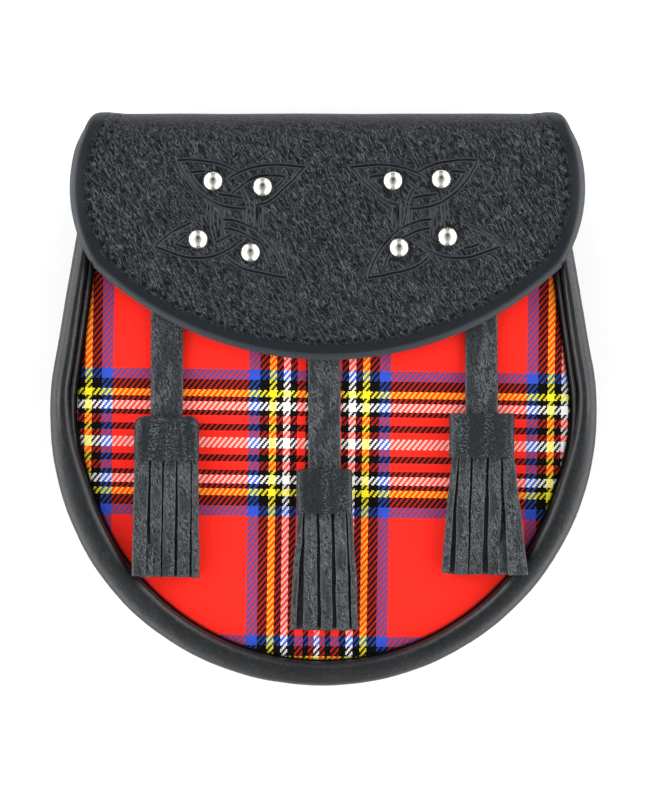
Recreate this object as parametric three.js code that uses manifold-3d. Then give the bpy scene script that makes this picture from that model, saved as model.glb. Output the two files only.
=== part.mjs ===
// A day-dress sporran lying on its back: a leather pouch with a tartan front, a studded flap and three
// leather tassels. Millimetres. +Z points out of the front, +Y to the top of the pouch and +X to the right
// of someone who looks at the front. The origin is on the surface under the pouch, below the middle of its
// outline.

import * as THREE from 'three';
import { mergeVertices } from 'three/addons/utils/BufferGeometryUtils.js';
import Module from 'manifold-3d';

const wasm = await Module();
wasm.setup();

// Overall size
const bodyWidth = 194;
const bodyHeight = 203;
const bodyDepth = 36;
const gap = 0.3;

// Outline of the body: a round bottom, and straight sides that lean inwards up to the top
const sideLean = THREE.MathUtils.degToRad(9.8);

// Edge of the tartan: the lean of its sides, and how wide the rolled edge is at the bottom as a share of
// the sides
const tartanLean = THREE.MathUtils.degToRad(7.5);
const edgeBottomShare = 0.8;

// Gusset
const gussetWall = 2;
const rollWidth = 7.4;
const seatFlat = 0.3;
const flangeWidth = 7;
const flangeBend = 1.2;
const waistDepth = 2;
const mouthFold = 6.5;
const mouthSlope = 6;

// Panels
const panelThickness = 2.5;
const frontRecess = 5;
const tartanCrown = 2.4;
const tartanTopGap = 17.5;

// Piping that stands beside the roll, and the groove between it and the tartan
const pipingWidth = 1.6;
const pipingTop = 33;
const pipingSink = 2.4;
const grooveWidth = 2;

// Flap: its flat pattern is drawn in the front's own coordinates and then bent over the top
const flapShift = 1.4;
const flapWidth = 181.2;
const flapDrop = 86.8;
const flapSideRadius = 50;
const flapSideDrop = 26.5;
const flapShoulder = 10.2;
const flapTipRadius = 120;
const flapFrontBend = 12;
const flapRearBend = 8;
const flapTabHeight = 13.5;
const flapTabSideGap = 3.5;
const flapLeather = 1.6;
const liningLeather = 1.1;
const liningShow = 0.7;
const flapDome = 1.2;
const flapTipSink = 0.3;
const flapSideDroop = 1.4;
const flapDroopWidth = 6.6;

// Studs
const studDiameter = 7;
const studHeight = 2.8;
const studRim = 0.5;
const studPostDiameter = 2.4;

// Closure under the flap
const snapDiameter = 12;
const snapCapDiameter = 9;
const snapDrop = 54;

// Loops on the back
const loopWidth = 22;
const loopHeight = 46;
const loopLeather = 2;
const loopTunnel = 4.8;
const loopSeam = 7;
const loopBend = 4;
const loopSpacing = 92;
const loopBelowTab = 1.5;
const loopOffFloor = 0.4;

// Tassels
const strapWidth = 11.5;
const strapLeather = 2;
const strapTuck = 17;
const capShoulder = 5.75;
const capHeight = 15.8;
const capWall = 1.5;
const capRoom = 1.5;
const capRound = 1.4;
const fringeLength = 41.5;
const flareDrop = 2;
const strapInCap = 4;
const headBelowStrap = 1;
const stripGap = 0.7;
const frontStrips = 5;
const backStrips = 4;

// Where each stud sits, as shares of half the flap's width and of the flap's drop
const studPlaces = [
  { name: 'stud_1', across: -0.446, down: 0.281 },
  { name: 'stud_2', across: -0.253, down: 0.304 },
  { name: 'stud_3', across: -0.504, down: 0.518 },
  { name: 'stud_4', across: -0.3, down: 0.571 },
  { name: 'stud_5', across: 0.255, down: 0.28 },
  { name: 'stud_6', across: 0.443, down: 0.273 },
  { name: 'stud_7', across: 0.279, down: 0.552 },
  { name: 'stud_8', across: 0.468, down: 0.508 },
];

// Each tassel: its middle as a share of half the body's width, the top of its cap as a share of the body's
// height from the top, its shoulders as a share of the cap's, and how far its fringe spreads to each side
// as shares of its own width
const tassels = [
  { name: 'tassel_left', across: -0.572, down: 0.529, shoulder: 1, spreadLeft: 0.11, spreadRight: 0 },
  { name: 'tassel_centre', across: 0.003, down: 0.621, shoulder: 0.72, spreadLeft: 0.15, spreadRight: 0.11 },
  { name: 'tassel_right', across: 0.577, down: 0.524, shoulder: 1, spreadLeft: 0.14, spreadRight: 0.22 },
];

// How fine the curved surfaces are
const bottomSteps = 24;
const sideSteps = [0.2, 0.45, 0.7, 0.88, 1];
const rollSteps = 6;
const wallSteps = 4;
const panelRings = [1, 0.8, 0.55, 0.28, 0];
const ovalSteps = 16;
const domeSteps = 3;
const outerColumns = [0, 0.2, 0.4, 0.6, 0.78, 0.9, 0.955, 1];
const liningColumns = [0, 0.3, 0.6, 0.9, 0.955, 1];

// Worked out from the sizes above
const topY = bodyHeight / 2;
const bottomRadius = bodyWidth / 2;
const edgeWidthSide = rollWidth + gap + pipingWidth + grooveWidth;
const edgeWidthBottom = edgeBottomShare * edgeWidthSide;
const bodyOutline = { radius: bottomRadius, centreY: bottomRadius - topY, lean: sideLean };
const tartanRadius = bottomRadius - edgeWidthSide;
const tartanOutline = {
  radius: tartanRadius,
  centreY: tartanRadius + edgeWidthBottom - topY,
  lean: tartanLean,
};
const rollRadius = rollWidth / 2;
const frontFace = bodyDepth - frontRecess;
const frontFlange = frontFace - panelThickness - gap;
const rearFace = loopTunnel + loopLeather + loopOffFloor;
const gussetTop = topY - flapRearBend;
const flapThickness = flapLeather + gap + liningLeather;
const flapFront = bodyDepth + gap + flapThickness;
const flapRear = rearFace - gap - flapThickness;
const flapHalf = flapWidth / 2;
const flapTip = topY - flapDrop;
const capThickness = strapLeather + 2 * (capWall + capRoom);

const materials = {
  smoothLeather: new THREE.MeshStandardMaterial({ color: 0x2b2c2f, roughness: 0.42, metalness: 0 }),
  grainLeather: new THREE.MeshStandardMaterial({ color: 0x212328, roughness: 0.5, metalness: 0 }),
  lining: new THREE.MeshStandardMaterial({ color: 0x35363a, roughness: 0.7, metalness: 0 }),
  tartan: new THREE.MeshStandardMaterial({ color: 0xc41c14, roughness: 0.9, metalness: 0 }),
  nickel: new THREE.MeshStandardMaterial({ color: 0xcfcfc8, roughness: 0.2, metalness: 1 }),
};

// A clean closed geometry: equal corners joined and collapsed triangles left out.
function solid(points, index) {
  const raw = new THREE.BufferGeometry();
  raw.setAttribute('position', new THREE.Float32BufferAttribute(points.flatMap((p) => [p.x, p.y, p.z]), 3));
  raw.setIndex(index);
  return welded(raw);
}

function welded(geometry) {
  const plain = geometry.clone();
  plain.deleteAttribute('normal');
  plain.deleteAttribute('uv');
  const merged = mergeVertices(plain, 1e-5);
  const kept = [];
  for (let i = 0; i < merged.index.count; i += 3) {
    const [a, b, c] = [merged.index.getX(i), merged.index.getX(i + 1), merged.index.getX(i + 2)];
    if (a !== b && b !== c && c !== a) {
      kept.push(a, b, c);
    }
  }
  merged.setIndex(kept);
  merged.computeVertexNormals();
  return merged;
}

// A closed wall between two equal grids of points. Seen from the face side, rows run up and columns run
// right. A wrapped wall joins its last column to its first, and otherwise its sides are closed too.
function wallBetween(face, back, wrapped = false) {
  const rows = face.length;
  const columns = face[0].length;
  const behind = rows * columns;
  const index = [];
  const quad = (a, b, c, d) => index.push(a, b, c, a, c, d);
  const at = (row, column) => row * columns + (column % columns);
  const lastColumn = wrapped ? columns : columns - 1;
  for (let row = 0; row < rows - 1; row += 1) {
    for (let column = 0; column < lastColumn; column += 1) {
      const corners = [at(row, column), at(row, column + 1), at(row + 1, column + 1), at(row + 1, column)];
      quad(...corners);
      quad(...corners.reverse().map((corner) => corner + behind));
    }
    if (!wrapped) {
      quad(at(row + 1, 0), at(row + 1, 0) + behind, at(row, 0) + behind, at(row, 0));
      const [low, high] = [at(row, columns - 1), at(row + 1, columns - 1)];
      quad(low, low + behind, high + behind, high);
    }
  }
  for (let column = 0; column < lastColumn; column += 1) {
    const [left, right] = [at(0, column), at(0, column + 1)];
    quad(left, left + behind, right + behind, right);
    const [topLeft, topRight] = [at(rows - 1, column), at(rows - 1, column + 1)];
    quad(topRight, topRight + behind, topLeft + behind, topLeft);
  }
  return solid([...face.flat(), ...back.flat()], index);
}

// A solid lofted through equal convex rings. Each ring turns anticlockwise for someone whom the loft runs
// towards.
function loft(rings) {
  const count = rings[0].length;
  const index = [];
  for (let ring = 0; ring < rings.length - 1; ring += 1) {
    for (let i = 0; i < count; i += 1) {
      const [a, b] = [ring * count + i, ring * count + ((i + 1) % count)];
      index.push(a, b, b + count, a, b + count, a + count);
    }
  }
  const last = (rings.length - 1) * count;
  for (let i = 1; i < count - 1; i += 1) {
    index.push(0, i + 1, i);
    index.push(last, last + i, last + i + 1);
  }
  return solid(rings.flat(), index);
}

function manifoldOf(geometry) {
  const vertProperties = new Float32Array(geometry.attributes.position.array);
  const triVerts = new Uint32Array(geometry.index.array);
  return new wasm.Manifold(new wasm.Mesh({ numProp: 3, vertProperties, triVerts }));
}

function geometryOf(manifold) {
  const mesh = manifold.getMesh();
  const geometry = new THREE.BufferGeometry();
  geometry.setAttribute('position', new THREE.Float32BufferAttribute(mesh.vertProperties, 3));
  geometry.setIndex(Array.from(mesh.triVerts));
  return welded(geometry);
}

const vector = (x, y, z) => new THREE.Vector3(x, y, z);

// The stations of an outline, from its top left corner down round the bottom to its top right corner. side
// is -1 at the left and 1 at the right, turn runs from -1 to 1 along the round bottom, and rise from 0 to
// 1 up a straight side.
function outlineStations() {
  const left = sideSteps.map((rise) => ({ turn: -1, rise, side: -1 })).reverse();
  const right = sideSteps.map((rise) => ({ turn: 1, rise, side: 1 }));
  const bottom = [];
  for (let i = 0; i <= bottomSteps; i += 1) {
    const turn = -1 + (2 * i) / bottomSteps;
    bottom.push({ turn, rise: 0, side: Math.sign(turn) });
  }
  return [...left, ...bottom, ...right];
}

function outlinePoint(outline, station, top) {
  const angle = station.turn * (Math.PI / 2 + outline.lean);
  const x = outline.radius * Math.sin(angle);
  const y = outline.centreY - outline.radius * Math.cos(angle);
  const climb = station.rise * (top - y);
  return new THREE.Vector2(x - station.side * climb * Math.tan(outline.lean), y + climb);
}

// A point of the rolled edge: inward is its distance from the body's outline where the edge is as wide as
// at the sides, and shrinks with the edge where it is narrower.
function edgePoint(station, top, inward) {
  const outer = outlinePoint(bodyOutline, station, top);
  const inner = outlinePoint(tartanOutline, station, top);
  return outer.lerp(inner, inward / edgeWidthSide);
}

// How high the tartan stands over the front face's rim: a shallow dome over the round bottom.
function tartanHeight(x, y) {
  const reach = Math.hypot(x, y - tartanOutline.centreY) / tartanRadius;
  return frontFace + tartanCrown * Math.max(0, 1 - reach * reach);
}

// The height of what a piece that lies on the front rests on: the tartan, and past its edge the roll.
function restHeight(x, y) {
  const overRoll = Math.hypot(x, y - tartanOutline.centreY) > tartanRadius;
  return overRoll ? bodyDepth : tartanHeight(x, y);
}

// The gusset's section, from the flange under the front panel round both rolls to the flange inside the
// back panel. fold is how far the wall between the rolls goes in. Each point has its place and the
// direction to the inside.
function gussetSection(fold) {
  const points = [];
  const rearFlange = rearFace + panelThickness + gap;
  const frontRoll = bodyDepth - rollRadius;
  const rearRoll = rollRadius - seatFlat;
  const flangeStart = rollWidth + flangeBend;
  const add = (inward, z) => points.push(new THREE.Vector2(inward, Math.max(0, z)));
  const arc = (inward, z, radius, from, to, steps) => {
    for (let i = 0; i <= steps; i += 1) {
      const angle = from + ((to - from) * i) / steps;
      add(inward + radius * Math.cos(angle), z + radius * Math.sin(angle));
    }
  };
  add(flangeStart + flangeWidth, frontFlange);
  arc(flangeStart, frontFlange + flangeBend, flangeBend, -Math.PI / 2, -Math.PI, 2);
  arc(rollRadius, frontRoll, rollRadius, 0, Math.PI, rollSteps);
  for (let i = 1; i < wallSteps; i += 1) {
    const share = i / wallSteps;
    add(fold * Math.sin(Math.PI * share) ** 2, frontRoll + (rearRoll - frontRoll) * share);
  }
  const seat = Math.acos(rearRoll / rollRadius);
  arc(rollRadius, rearRoll, rollRadius, Math.PI, 1.5 * Math.PI - seat, rollSteps / 2);
  arc(rollRadius, rearRoll, rollRadius, 1.5 * Math.PI + seat, 2 * Math.PI, rollSteps / 2);
  arc(flangeStart, rearFlange - flangeBend, flangeBend, Math.PI, Math.PI / 2, 2);
  add(flangeStart + flangeWidth, rearFlange);
  return points.map((point, i) => {
    const before = points[Math.max(0, i - 1)];
    const after = points[Math.min(points.length - 1, i + 1)];
    const along = after.clone().sub(before).normalize();
    return { inward: point.x, z: point.y, inside: new THREE.Vector2(-along.y, along.x) };
  });
}

// The soft band round the sides and the bottom. Its ends at the mouth slope down to the front and fold
// inwards.
function gusset() {
  const rows = outlineStations().map((station) => {
    const atMouth = station.rise ** 2;
    const section = gussetSection(waistDepth + mouthFold * atMouth);
    const place = (inward, z) => {
      const end = gussetTop - mouthSlope * (Math.max(0, z) / bodyDepth);
      const point = edgePoint(station, end, inward);
      return vector(point.x, point.y, z);
    };
    return {
      face: section.map((p) => place(p.inward, p.z)),
      back: section.map((p) => place(p.inward + p.inside.x * gussetWall, p.z + p.inside.y * gussetWall)),
    };
  });
  return wallBetween(rows.map((row) => row.face), rows.map((row) => row.back));
}

// A panel's rim, from its top left corner round the bottom and back across its top.
function panelRim(top, inward) {
  const rim = outlineStations().map((station) => edgePoint(station, top, inward));
  const [first, last] = [rim[0], rim[rim.length - 1]];
  const topSteps = 6;
  for (let i = 1; i < topSteps; i += 1) {
    rim.push(last.clone().lerp(first, i / topSteps));
  }
  return rim;
}

function backPanel() {
  const rim = panelRim(gussetTop, rollWidth + flangeBend + gap);
  const flat = new THREE.ExtrudeGeometry(new THREE.Shape(rim), {
    depth: panelThickness,
    bevelEnabled: false,
  });
  return welded(flat.translate(0, 0, rearFace));
}

function tartanPanel() {
  const rim = panelRim(topY - tartanTopGap, edgeWidthSide);
  const ring = (share, drop) => rim.map((point) => {
    const x = point.x * share;
    const y = tartanOutline.centreY + (point.y - tartanOutline.centreY) * share;
    return vector(x, y, tartanHeight(x, y) - drop);
  });
  const face = panelRings.map((share) => ring(share, 0));
  const back = panelRings.map((share) => ring(share, panelThickness));
  return wallBetween(face, back, true);
}

// A thin lip that stands on the flange beside the roll, lower at the bottom.
function frontPiping() {
  const halfWidth = pipingWidth / 2;
  const middle = rollWidth + gap + halfWidth;
  const base = frontFlange + gap;
  const rings = outlineStations().map((station) => {
    const sunk = pipingSink * Math.cos(station.turn * Math.PI / 2) ** 2;
    const height = pipingTop - sunk - base;
    const ring = [];
    const sides = 8;
    for (let i = 0; i < sides; i += 1) {
      const angle = (2 * Math.PI * (i + 0.5)) / sides;
      const point = edgePoint(station, topY - tartanTopGap, middle + halfWidth * Math.cos(angle));
      const z = base + (height / 2) * (1 + Math.sin(angle));
      ring.push(vector(point.x, point.y, z));
    }
    return ring;
  });
  return loft(rings);
}

// The flap's flat pattern: how wide it is at a height s, where s is measured as y on the front and then
// along the leather.
const frontBendStart = topY - flapFrontBend;
const topStart = frontBendStart + (flapFrontBend * Math.PI) / 2;
const topLength = flapFront - flapFrontBend - (flapRear + flapRearBend);
const rearBendStart = topStart + topLength;
const tabStart = rearBendStart + (flapRearBend * Math.PI) / 2;
const tabEnd = tabStart + flapTabHeight;

const sideCentre = new THREE.Vector2(flapHalf - flapSideRadius, topY - flapSideDrop);
const tipCentre = new THREE.Vector2(0, flapTip + flapTipRadius);

// The angle at the tip arc's centre, from straight down, at which the tip arc meets the side arc.
function cornerTurn() {
  const between = sideCentre.clone().sub(tipCentre);
  const distance = between.length();
  const squares = flapTipRadius ** 2 + distance ** 2 - flapSideRadius ** 2;
  const cosine = squares / (2 * flapTipRadius * distance);
  return Math.atan2(between.x, -between.y) + Math.acos(Math.min(1, cosine));
}

// The tab fits between the rear rolls.
function tabHalfWidth() {
  const atTop = { turn: 1, rise: 1, side: 1 };
  return edgePoint(atTop, gussetTop, rollWidth).x - Math.abs(flapShift) - flapTabSideGap;
}

// The side is an arc that runs on as a straight line over the shoulder at its top.
function sideHalfWidth(s) {
  const shoulderStart = topY - flapShoulder;
  const climb = Math.min(s, shoulderStart) - sideCentre.y;
  const across = Math.sqrt(Math.max(1, flapSideRadius ** 2 - climb ** 2));
  const past = Math.max(0, s - shoulderStart);
  return sideCentre.x + across - (past * climb) / across;
}

function flapHalfWidth(s) {
  if (s > topStart) {
    const share = Math.min(1, (s - topStart) / (tabStart - topStart));
    return THREE.MathUtils.lerp(sideHalfWidth(topStart), tabHalfWidth(), share);
  }
  const climb = tipCentre.y - s;
  if (climb < flapTipRadius * Math.cos(cornerTurn())) {
    return sideHalfWidth(s);
  }
  return Math.sqrt(Math.max(0, flapTipRadius ** 2 - climb ** 2));
}

// The place and the outward direction of the flap's outer face at a height s of its pattern.
function flapProfile(s) {
  if (s <= frontBendStart) {
    return { y: s, z: flapFront, outY: 0, outZ: 1 };
  }
  if (s <= topStart) {
    const angle = (s - frontBendStart) / flapFrontBend;
    const [outY, outZ] = [Math.sin(angle), Math.cos(angle)];
    const [y, z] = [frontBendStart + flapFrontBend * outY, flapFront - flapFrontBend * (1 - outZ)];
    return { y, z, outY, outZ };
  }
  if (s <= rearBendStart) {
    return { y: topY, z: flapFront - flapFrontBend - (s - topStart), outY: 1, outZ: 0 };
  }
  const rearCentre = topY - flapRearBend;
  if (s <= tabStart) {
    const angle = (s - rearBendStart) / flapRearBend;
    const [outY, outZ] = [Math.cos(angle), -Math.sin(angle)];
    return { y: rearCentre + flapRearBend * outY, z: flapRear + flapRearBend * (1 + outZ), outY, outZ };
  }
  return { y: rearCentre - (s - tabStart), z: flapRear, outY: 0, outZ: -1 };
}

// How far the flap bulges out: domed between its tip and its top, and drooping at its sides.
function flapBulge(x, s) {
  const along = THREE.MathUtils.smoothstep(s, flapTip, flapTip + flapDrop / 2);
  const over = 1 - THREE.MathUtils.smoothstep(s, frontBendStart, topStart);
  const dome = flapDome * along * (1 - (x / flapHalf) ** 2);
  const past = Math.max(0, Math.abs(x) - (flapHalf - flapDroopWidth)) / flapDroopWidth;
  const droop = flapSideDroop * past ** 2;
  return (dome - droop) * over - flapTipSink * (1 - along);
}

function flapPoint(x, s, depth) {
  const profile = flapProfile(s);
  const out = flapBulge(x, s) - depth;
  return vector(x, profile.y + profile.outY * out, profile.z + profile.outZ * out);
}

// The heights at which the flap has a row of corners, closer together on its round tip and its bends.
function flapRows() {
  const tipRows = [0, 0.17, 0.34, 0.5, 0.66, 0.82, 1].map((share) => share * cornerTurn());
  const tip = tipRows.map((turn) => flapTip + flapTipRadius * (1 - Math.cos(turn)));
  const corner = tip[tip.length - 1];
  const between = (from, to, shares) => shares.map((share) => THREE.MathUtils.lerp(from, to, share));
  const side = between(corner, frontBendStart, [0.12, 0.25, 0.4, 0.6, 0.8, 1]);
  const frontBend = between(frontBendStart, topStart, [0.2, 0.4, 0.6, 0.8, 1]);
  const rearBend = between(rearBendStart, tabStart, [0, 0.33, 0.67, 1]);
  return [...tip, ...side, ...frontBend, ...rearBend, tabEnd];
}

// One sheet of the flap. columns are its columns of corners as shares of half its width, from its middle
// to its side.
function flapSheet(columns, outer, thickness, show) {
  const across = [...columns.slice(1).map((share) => -share).reverse(), ...columns];
  const grid = (depth) => flapRows().map((s, row) => {
    const half = row === 0 ? 0 : flapHalfWidth(s) + show;
    const height = row === 0 ? s - show : s;
    return across.map((share) => flapPoint(share * half, height, depth));
  });
  return wallBetween(grid(outer), grid(outer + thickness));
}

function studPoint(place) {
  return { x: place.across * flapHalf, s: topY - place.down * flapDrop };
}

function studPost(place, diameter, length) {
  const { x, s } = studPoint(place);
  const post = new THREE.CylinderGeometry(diameter / 2, diameter / 2, length, 8);
  post.rotateX(Math.PI / 2);
  post.translate(x, s, flapPoint(x, s, 0).z);
  return welded(post);
}

function flapOuter() {
  let leather = manifoldOf(flapSheet(outerColumns, 0, flapLeather, 0));
  for (const place of studPlaces) {
    const hole = studPost(place, studPostDiameter + 2 * gap, 4 * flapLeather);
    leather = leather.subtract(manifoldOf(hole));
  }
  return geometryOf(leather);
}

// A dome with a short post, which ends level with the back of the flap's leather.
function stud(place) {
  const radius = studDiameter / 2;
  const { x, s } = studPoint(place);
  const profile = [new THREE.Vector2(0, -gap - flapLeather + gap / 2)];
  profile.push(new THREE.Vector2(studPostDiameter / 2, -gap - flapLeather + gap / 2));
  profile.push(new THREE.Vector2(studPostDiameter / 2, 0), new THREE.Vector2(radius, 0));
  for (let i = 0; i <= domeSteps; i += 1) {
    const angle = ((Math.PI / 2) * i) / domeSteps;
    const height = studRim + (studHeight - studRim) * Math.sin(angle);
    profile.push(new THREE.Vector2(radius * Math.cos(angle), height));
  }
  profile[profile.length - 1].x = 0;
  const dome = new THREE.LatheGeometry(profile, 12);
  dome.rotateX(Math.PI / 2);
  dome.translate(x, s, flapPoint(x, s, 0).z + gap);
  return welded(dome);
}

// A plain press fastener between the front panel and the flap's lining.
function flapSnap() {
  const s = topY - snapDrop;
  const low = tartanHeight(0, s) + gap;
  const high = flapPoint(0, s, flapThickness).z - gap;
  const step = (low + high) / 2;
  const profile = [
    new THREE.Vector2(0, low),
    new THREE.Vector2(snapDiameter / 2, low),
    new THREE.Vector2(snapDiameter / 2, step),
    new THREE.Vector2(snapCapDiameter / 2, step),
    new THREE.Vector2(snapCapDiameter / 2, high),
    new THREE.Vector2(0, high),
  ];
  const lathe = new THREE.LatheGeometry(profile, 12);
  lathe.rotateX(Math.PI / 2);
  return welded(lathe.translate(0, s, 0));
}

// A leather loop that is sewn down at its top and its bottom and stands off the back between them.
function backLoop() {
  const half = loopHeight / 2;
  const seated = rearFace - gap;
  const bridge = rearFace - loopTunnel;
  const upper = [
    [half, seated],
    [half - loopSeam, seated],
    [half - loopSeam - loopBend, bridge],
  ];
  const inner = [...upper, ...upper.map(([y, z]) => [-y, z]).reverse()];
  const outer = inner.map(([y, z]) => [y, z - loopLeather]).reverse();
  const shape = new THREE.Shape([...inner, ...outer].map(([y, z]) => new THREE.Vector2(z, y)));
  const band = new THREE.ExtrudeGeometry(shape, { depth: loopWidth, bevelEnabled: false });
  band.translate(0, 0, -loopWidth / 2);
  band.rotateY(-Math.PI / 2);
  return welded(band);
}

const tasselX = (row) => row.across * bodyWidth / 2;
const tasselTop = (row) => topY - row.down * bodyHeight;
const tasselWidth = (row) => strapWidth + 2 * capShoulder * row.shoulder;
const tasselMiddle = (row) => {
  const under = tartanHeight(tasselX(row), tasselTop(row) - capHeight / 2) + gap;
  return under + capThickness / 2;
};

// The strap lies on the tartan from under the flap to the cap, and rises into the cap's middle.
function tasselStrap(row) {
  const x = tasselX(row);
  const capTop = tasselTop(row);
  const edge = flapTip + flapTipRadius - Math.sqrt(flapTipRadius ** 2 - (x - flapShift) ** 2);
  const start = edge + strapTuck;
  const end = capTop - strapInCap;
  const level = tasselMiddle(row) - strapLeather / 2;
  const rise = 3 * capThickness;
  const steps = 8;
  const under = [];
  for (let i = 0; i <= steps; i += 1) {
    const y = THREE.MathUtils.lerp(start, end, i / steps);
    const lift = 1 - THREE.MathUtils.smoothstep(y, capTop, capTop + rise);
    under.push([y, THREE.MathUtils.lerp(tartanHeight(0.9 * x, y) + gap, level, lift)]);
  }
  const over = under.map(([y, z]) => [y, z + strapLeather]);
  const ring = (side) => (([y, z]) => vector(x + side * strapWidth / 2, y, z));
  return wallBetween(
    [...over].reverse().map((p) => [ring(-1)(p), ring(1)(p)]),
    [...under].reverse().map((p) => [ring(-1)(p), ring(1)(p)]),
  );
}

// A rounded oblong across the tassel, wide along X and thick along Z.
function oval(x, y, z, width, thickness) {
  const points = [];
  for (let i = 0; i < ovalSteps; i += 1) {
    const angle = (2 * Math.PI * (i + 0.5)) / ovalSteps;
    const [c, s] = [Math.cos(angle), Math.sin(angle)];
    const px = Math.sign(c) * Math.abs(c) ** 0.6 * width / 2;
    const pz = Math.sign(s) * Math.abs(s) ** 0.6 * thickness / 2;
    points.push(vector(x + px, y, z + pz));
  }
  return points;
}

// The band round the tassel's head, with its top edge turned in.
function tasselCap(row) {
  const x = tasselX(row);
  const z = tasselMiddle(row);
  const top = tasselTop(row);
  const width = tasselWidth(row);
  const sections = [
    { y: top - capHeight, narrower: 0 },
    { y: top - capRound, narrower: 0 },
    { y: top - capRound * 0.3, narrower: capRound * 0.6 },
    { y: top, narrower: capRound * 1.4 },
  ];
  const grid = (wall) => sections.map((section) => {
    const less = section.narrower + 2 * wall;
    return oval(x, section.y, z, width - less, capThickness - less);
  });
  return wallBetween(grid(0).reverse(), grid(capWall).reverse(), true);
}

// One cut strip of leather, lofted from inside the head down to its tip.
function fringeStrip(sections, thickness) {
  return loft(sections.map(({ left, right, y, z }) => [
    vector(left, y, z),
    vector(right, y, z),
    vector(right, y, z + thickness),
    vector(left, y, z + thickness),
  ]));
}

// The fringe: two layers of strips that hang from one rolled head inside the cap.
function tasselFringe(row) {
  const x = tasselX(row);
  const middle = tasselMiddle(row);
  const width = tasselWidth(row);
  const headTop = tasselTop(row) - strapInCap - headBelowStrap;
  const capEnd = tasselTop(row) - capHeight;
  const tipY = capEnd - fringeLength;
  const inside = 2 * (capWall + gap);
  const headThickness = capThickness - inside;
  const headBottom = capEnd + capHeight / 4;
  let fringe = manifoldOf(loft([
    oval(x, headTop, middle, width - inside, headThickness),
    oval(x, headBottom, middle, width - inside, headThickness),
  ]));
  const layer = headThickness / 2;
  const rows = [
    { strips: backStrips, headZ: middle - layer + gap / 2, over: 0, step: 0.035 },
    { strips: frontStrips, headZ: middle - gap / 2, over: layer - gap, step: 0.02 },
  ];
  for (const { strips, headZ, over, step } of rows) {
    const headWidth = width - inside - 0.8 * headThickness;
    for (let i = 0; i < strips; i += 1) {
      const shorter = fringeLength * step * ((i * 2) % 3);
      const span = (left, right, y, z) => {
        const pitch = (right - left) / strips;
        const start = left + i * pitch;
        return { left: start + stripGap / 2, right: start + pitch - stripGap / 2, y, z };
      };
      const tipLeft = x - width / 2 - row.spreadLeft * width;
      const tipRight = x + width / 2 + row.spreadRight * width;
      const tipMiddle = THREE.MathUtils.lerp(tipLeft, tipRight, (i + 0.5) / strips);
      const tipOuter = tipMiddle + Math.sign(tipMiddle) * width / (2 * strips);
      const tip = Math.max(restHeight(tipMiddle, tipY), restHeight(tipOuter, tipY)) + gap;
      const half = capEnd - fringeLength / 2;
      const spread = 0.55;
      const halfLeft = THREE.MathUtils.lerp(x - width / 2, tipLeft, spread);
      const halfRight = THREE.MathUtils.lerp(x + width / 2, tipRight, spread);
      const halfZ = tartanHeight(0.9 * x, half) + gap;
      fringe = fringe.add(manifoldOf(fringeStrip([
        span(x - headWidth / 2, x + headWidth / 2, headBottom + capHeight / 4, headZ),
        span(x - headWidth / 2, x + headWidth / 2, capEnd, headZ),
        span(x - width / 2, x + width / 2, capEnd - flareDrop, headZ),
        span(halfLeft, halfRight, half, halfZ + over + gap),
        span(tipLeft, tipRight, tipY + shorter, tip + over),
      ], layer)));
    }
  }
  return geometryOf(fringe);
}

const sporran = new THREE.Group();
const flap = new THREE.Group();
flap.position.x = flapShift;
sporran.add(flap);

function place(parent, name, geometry, material) {
  const mesh = new THREE.Mesh(geometry, material);
  mesh.name = name;
  parent.add(mesh);
  return mesh;
}

place(sporran, 'gusset', gusset(), materials.smoothLeather);
place(sporran, 'back_panel', backPanel(), materials.smoothLeather);
place(sporran, 'tartan_panel', tartanPanel(), materials.tartan);
place(sporran, 'front_piping', frontPiping(), materials.smoothLeather);
place(flap, 'flap_outer', flapOuter(), materials.grainLeather);
const lining = flapSheet(liningColumns, flapLeather + gap, liningLeather, liningShow);
place(flap, 'flap_lining', lining, materials.lining);
place(flap, 'flap_snap', flapSnap(), materials.nickel);
for (const studPlace of studPlaces) {
  place(flap, studPlace.name, stud(studPlace), materials.nickel);
}
for (const [name, side] of [['back_loop_left', -1], ['back_loop_right', 1]]) {
  const loop = place(sporran, name, backLoop(), materials.smoothLeather);
  const loopTop = topY - flapRearBend - flapTabHeight - loopBelowTab;
  loop.position.set((side * loopSpacing) / 2, loopTop - loopHeight / 2, 0);
}
for (const row of tassels) {
  place(sporran, `${row.name}_strap`, tasselStrap(row), materials.grainLeather);
  place(sporran, `${row.name}_cap`, tasselCap(row), materials.grainLeather);
  place(sporran, `${row.name}_fringe`, tasselFringe(row), materials.grainLeather);
}

export default sporran;
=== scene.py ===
# The looks of a day-dress sporran that lies on its back: black leather, red tartan, nickel studs and three
# leather tassels. Sizes are in millimetres and become metres when a piece is finished. +Y points to the top
# of the pouch, +Z out of its front.

from math import acos, asin, atan2, copysign, cos, exp, hypot, pi, radians, sin, sqrt, tan

import bmesh
import bpy
from mathutils import Matrix, Vector, kdtree, noise


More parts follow.
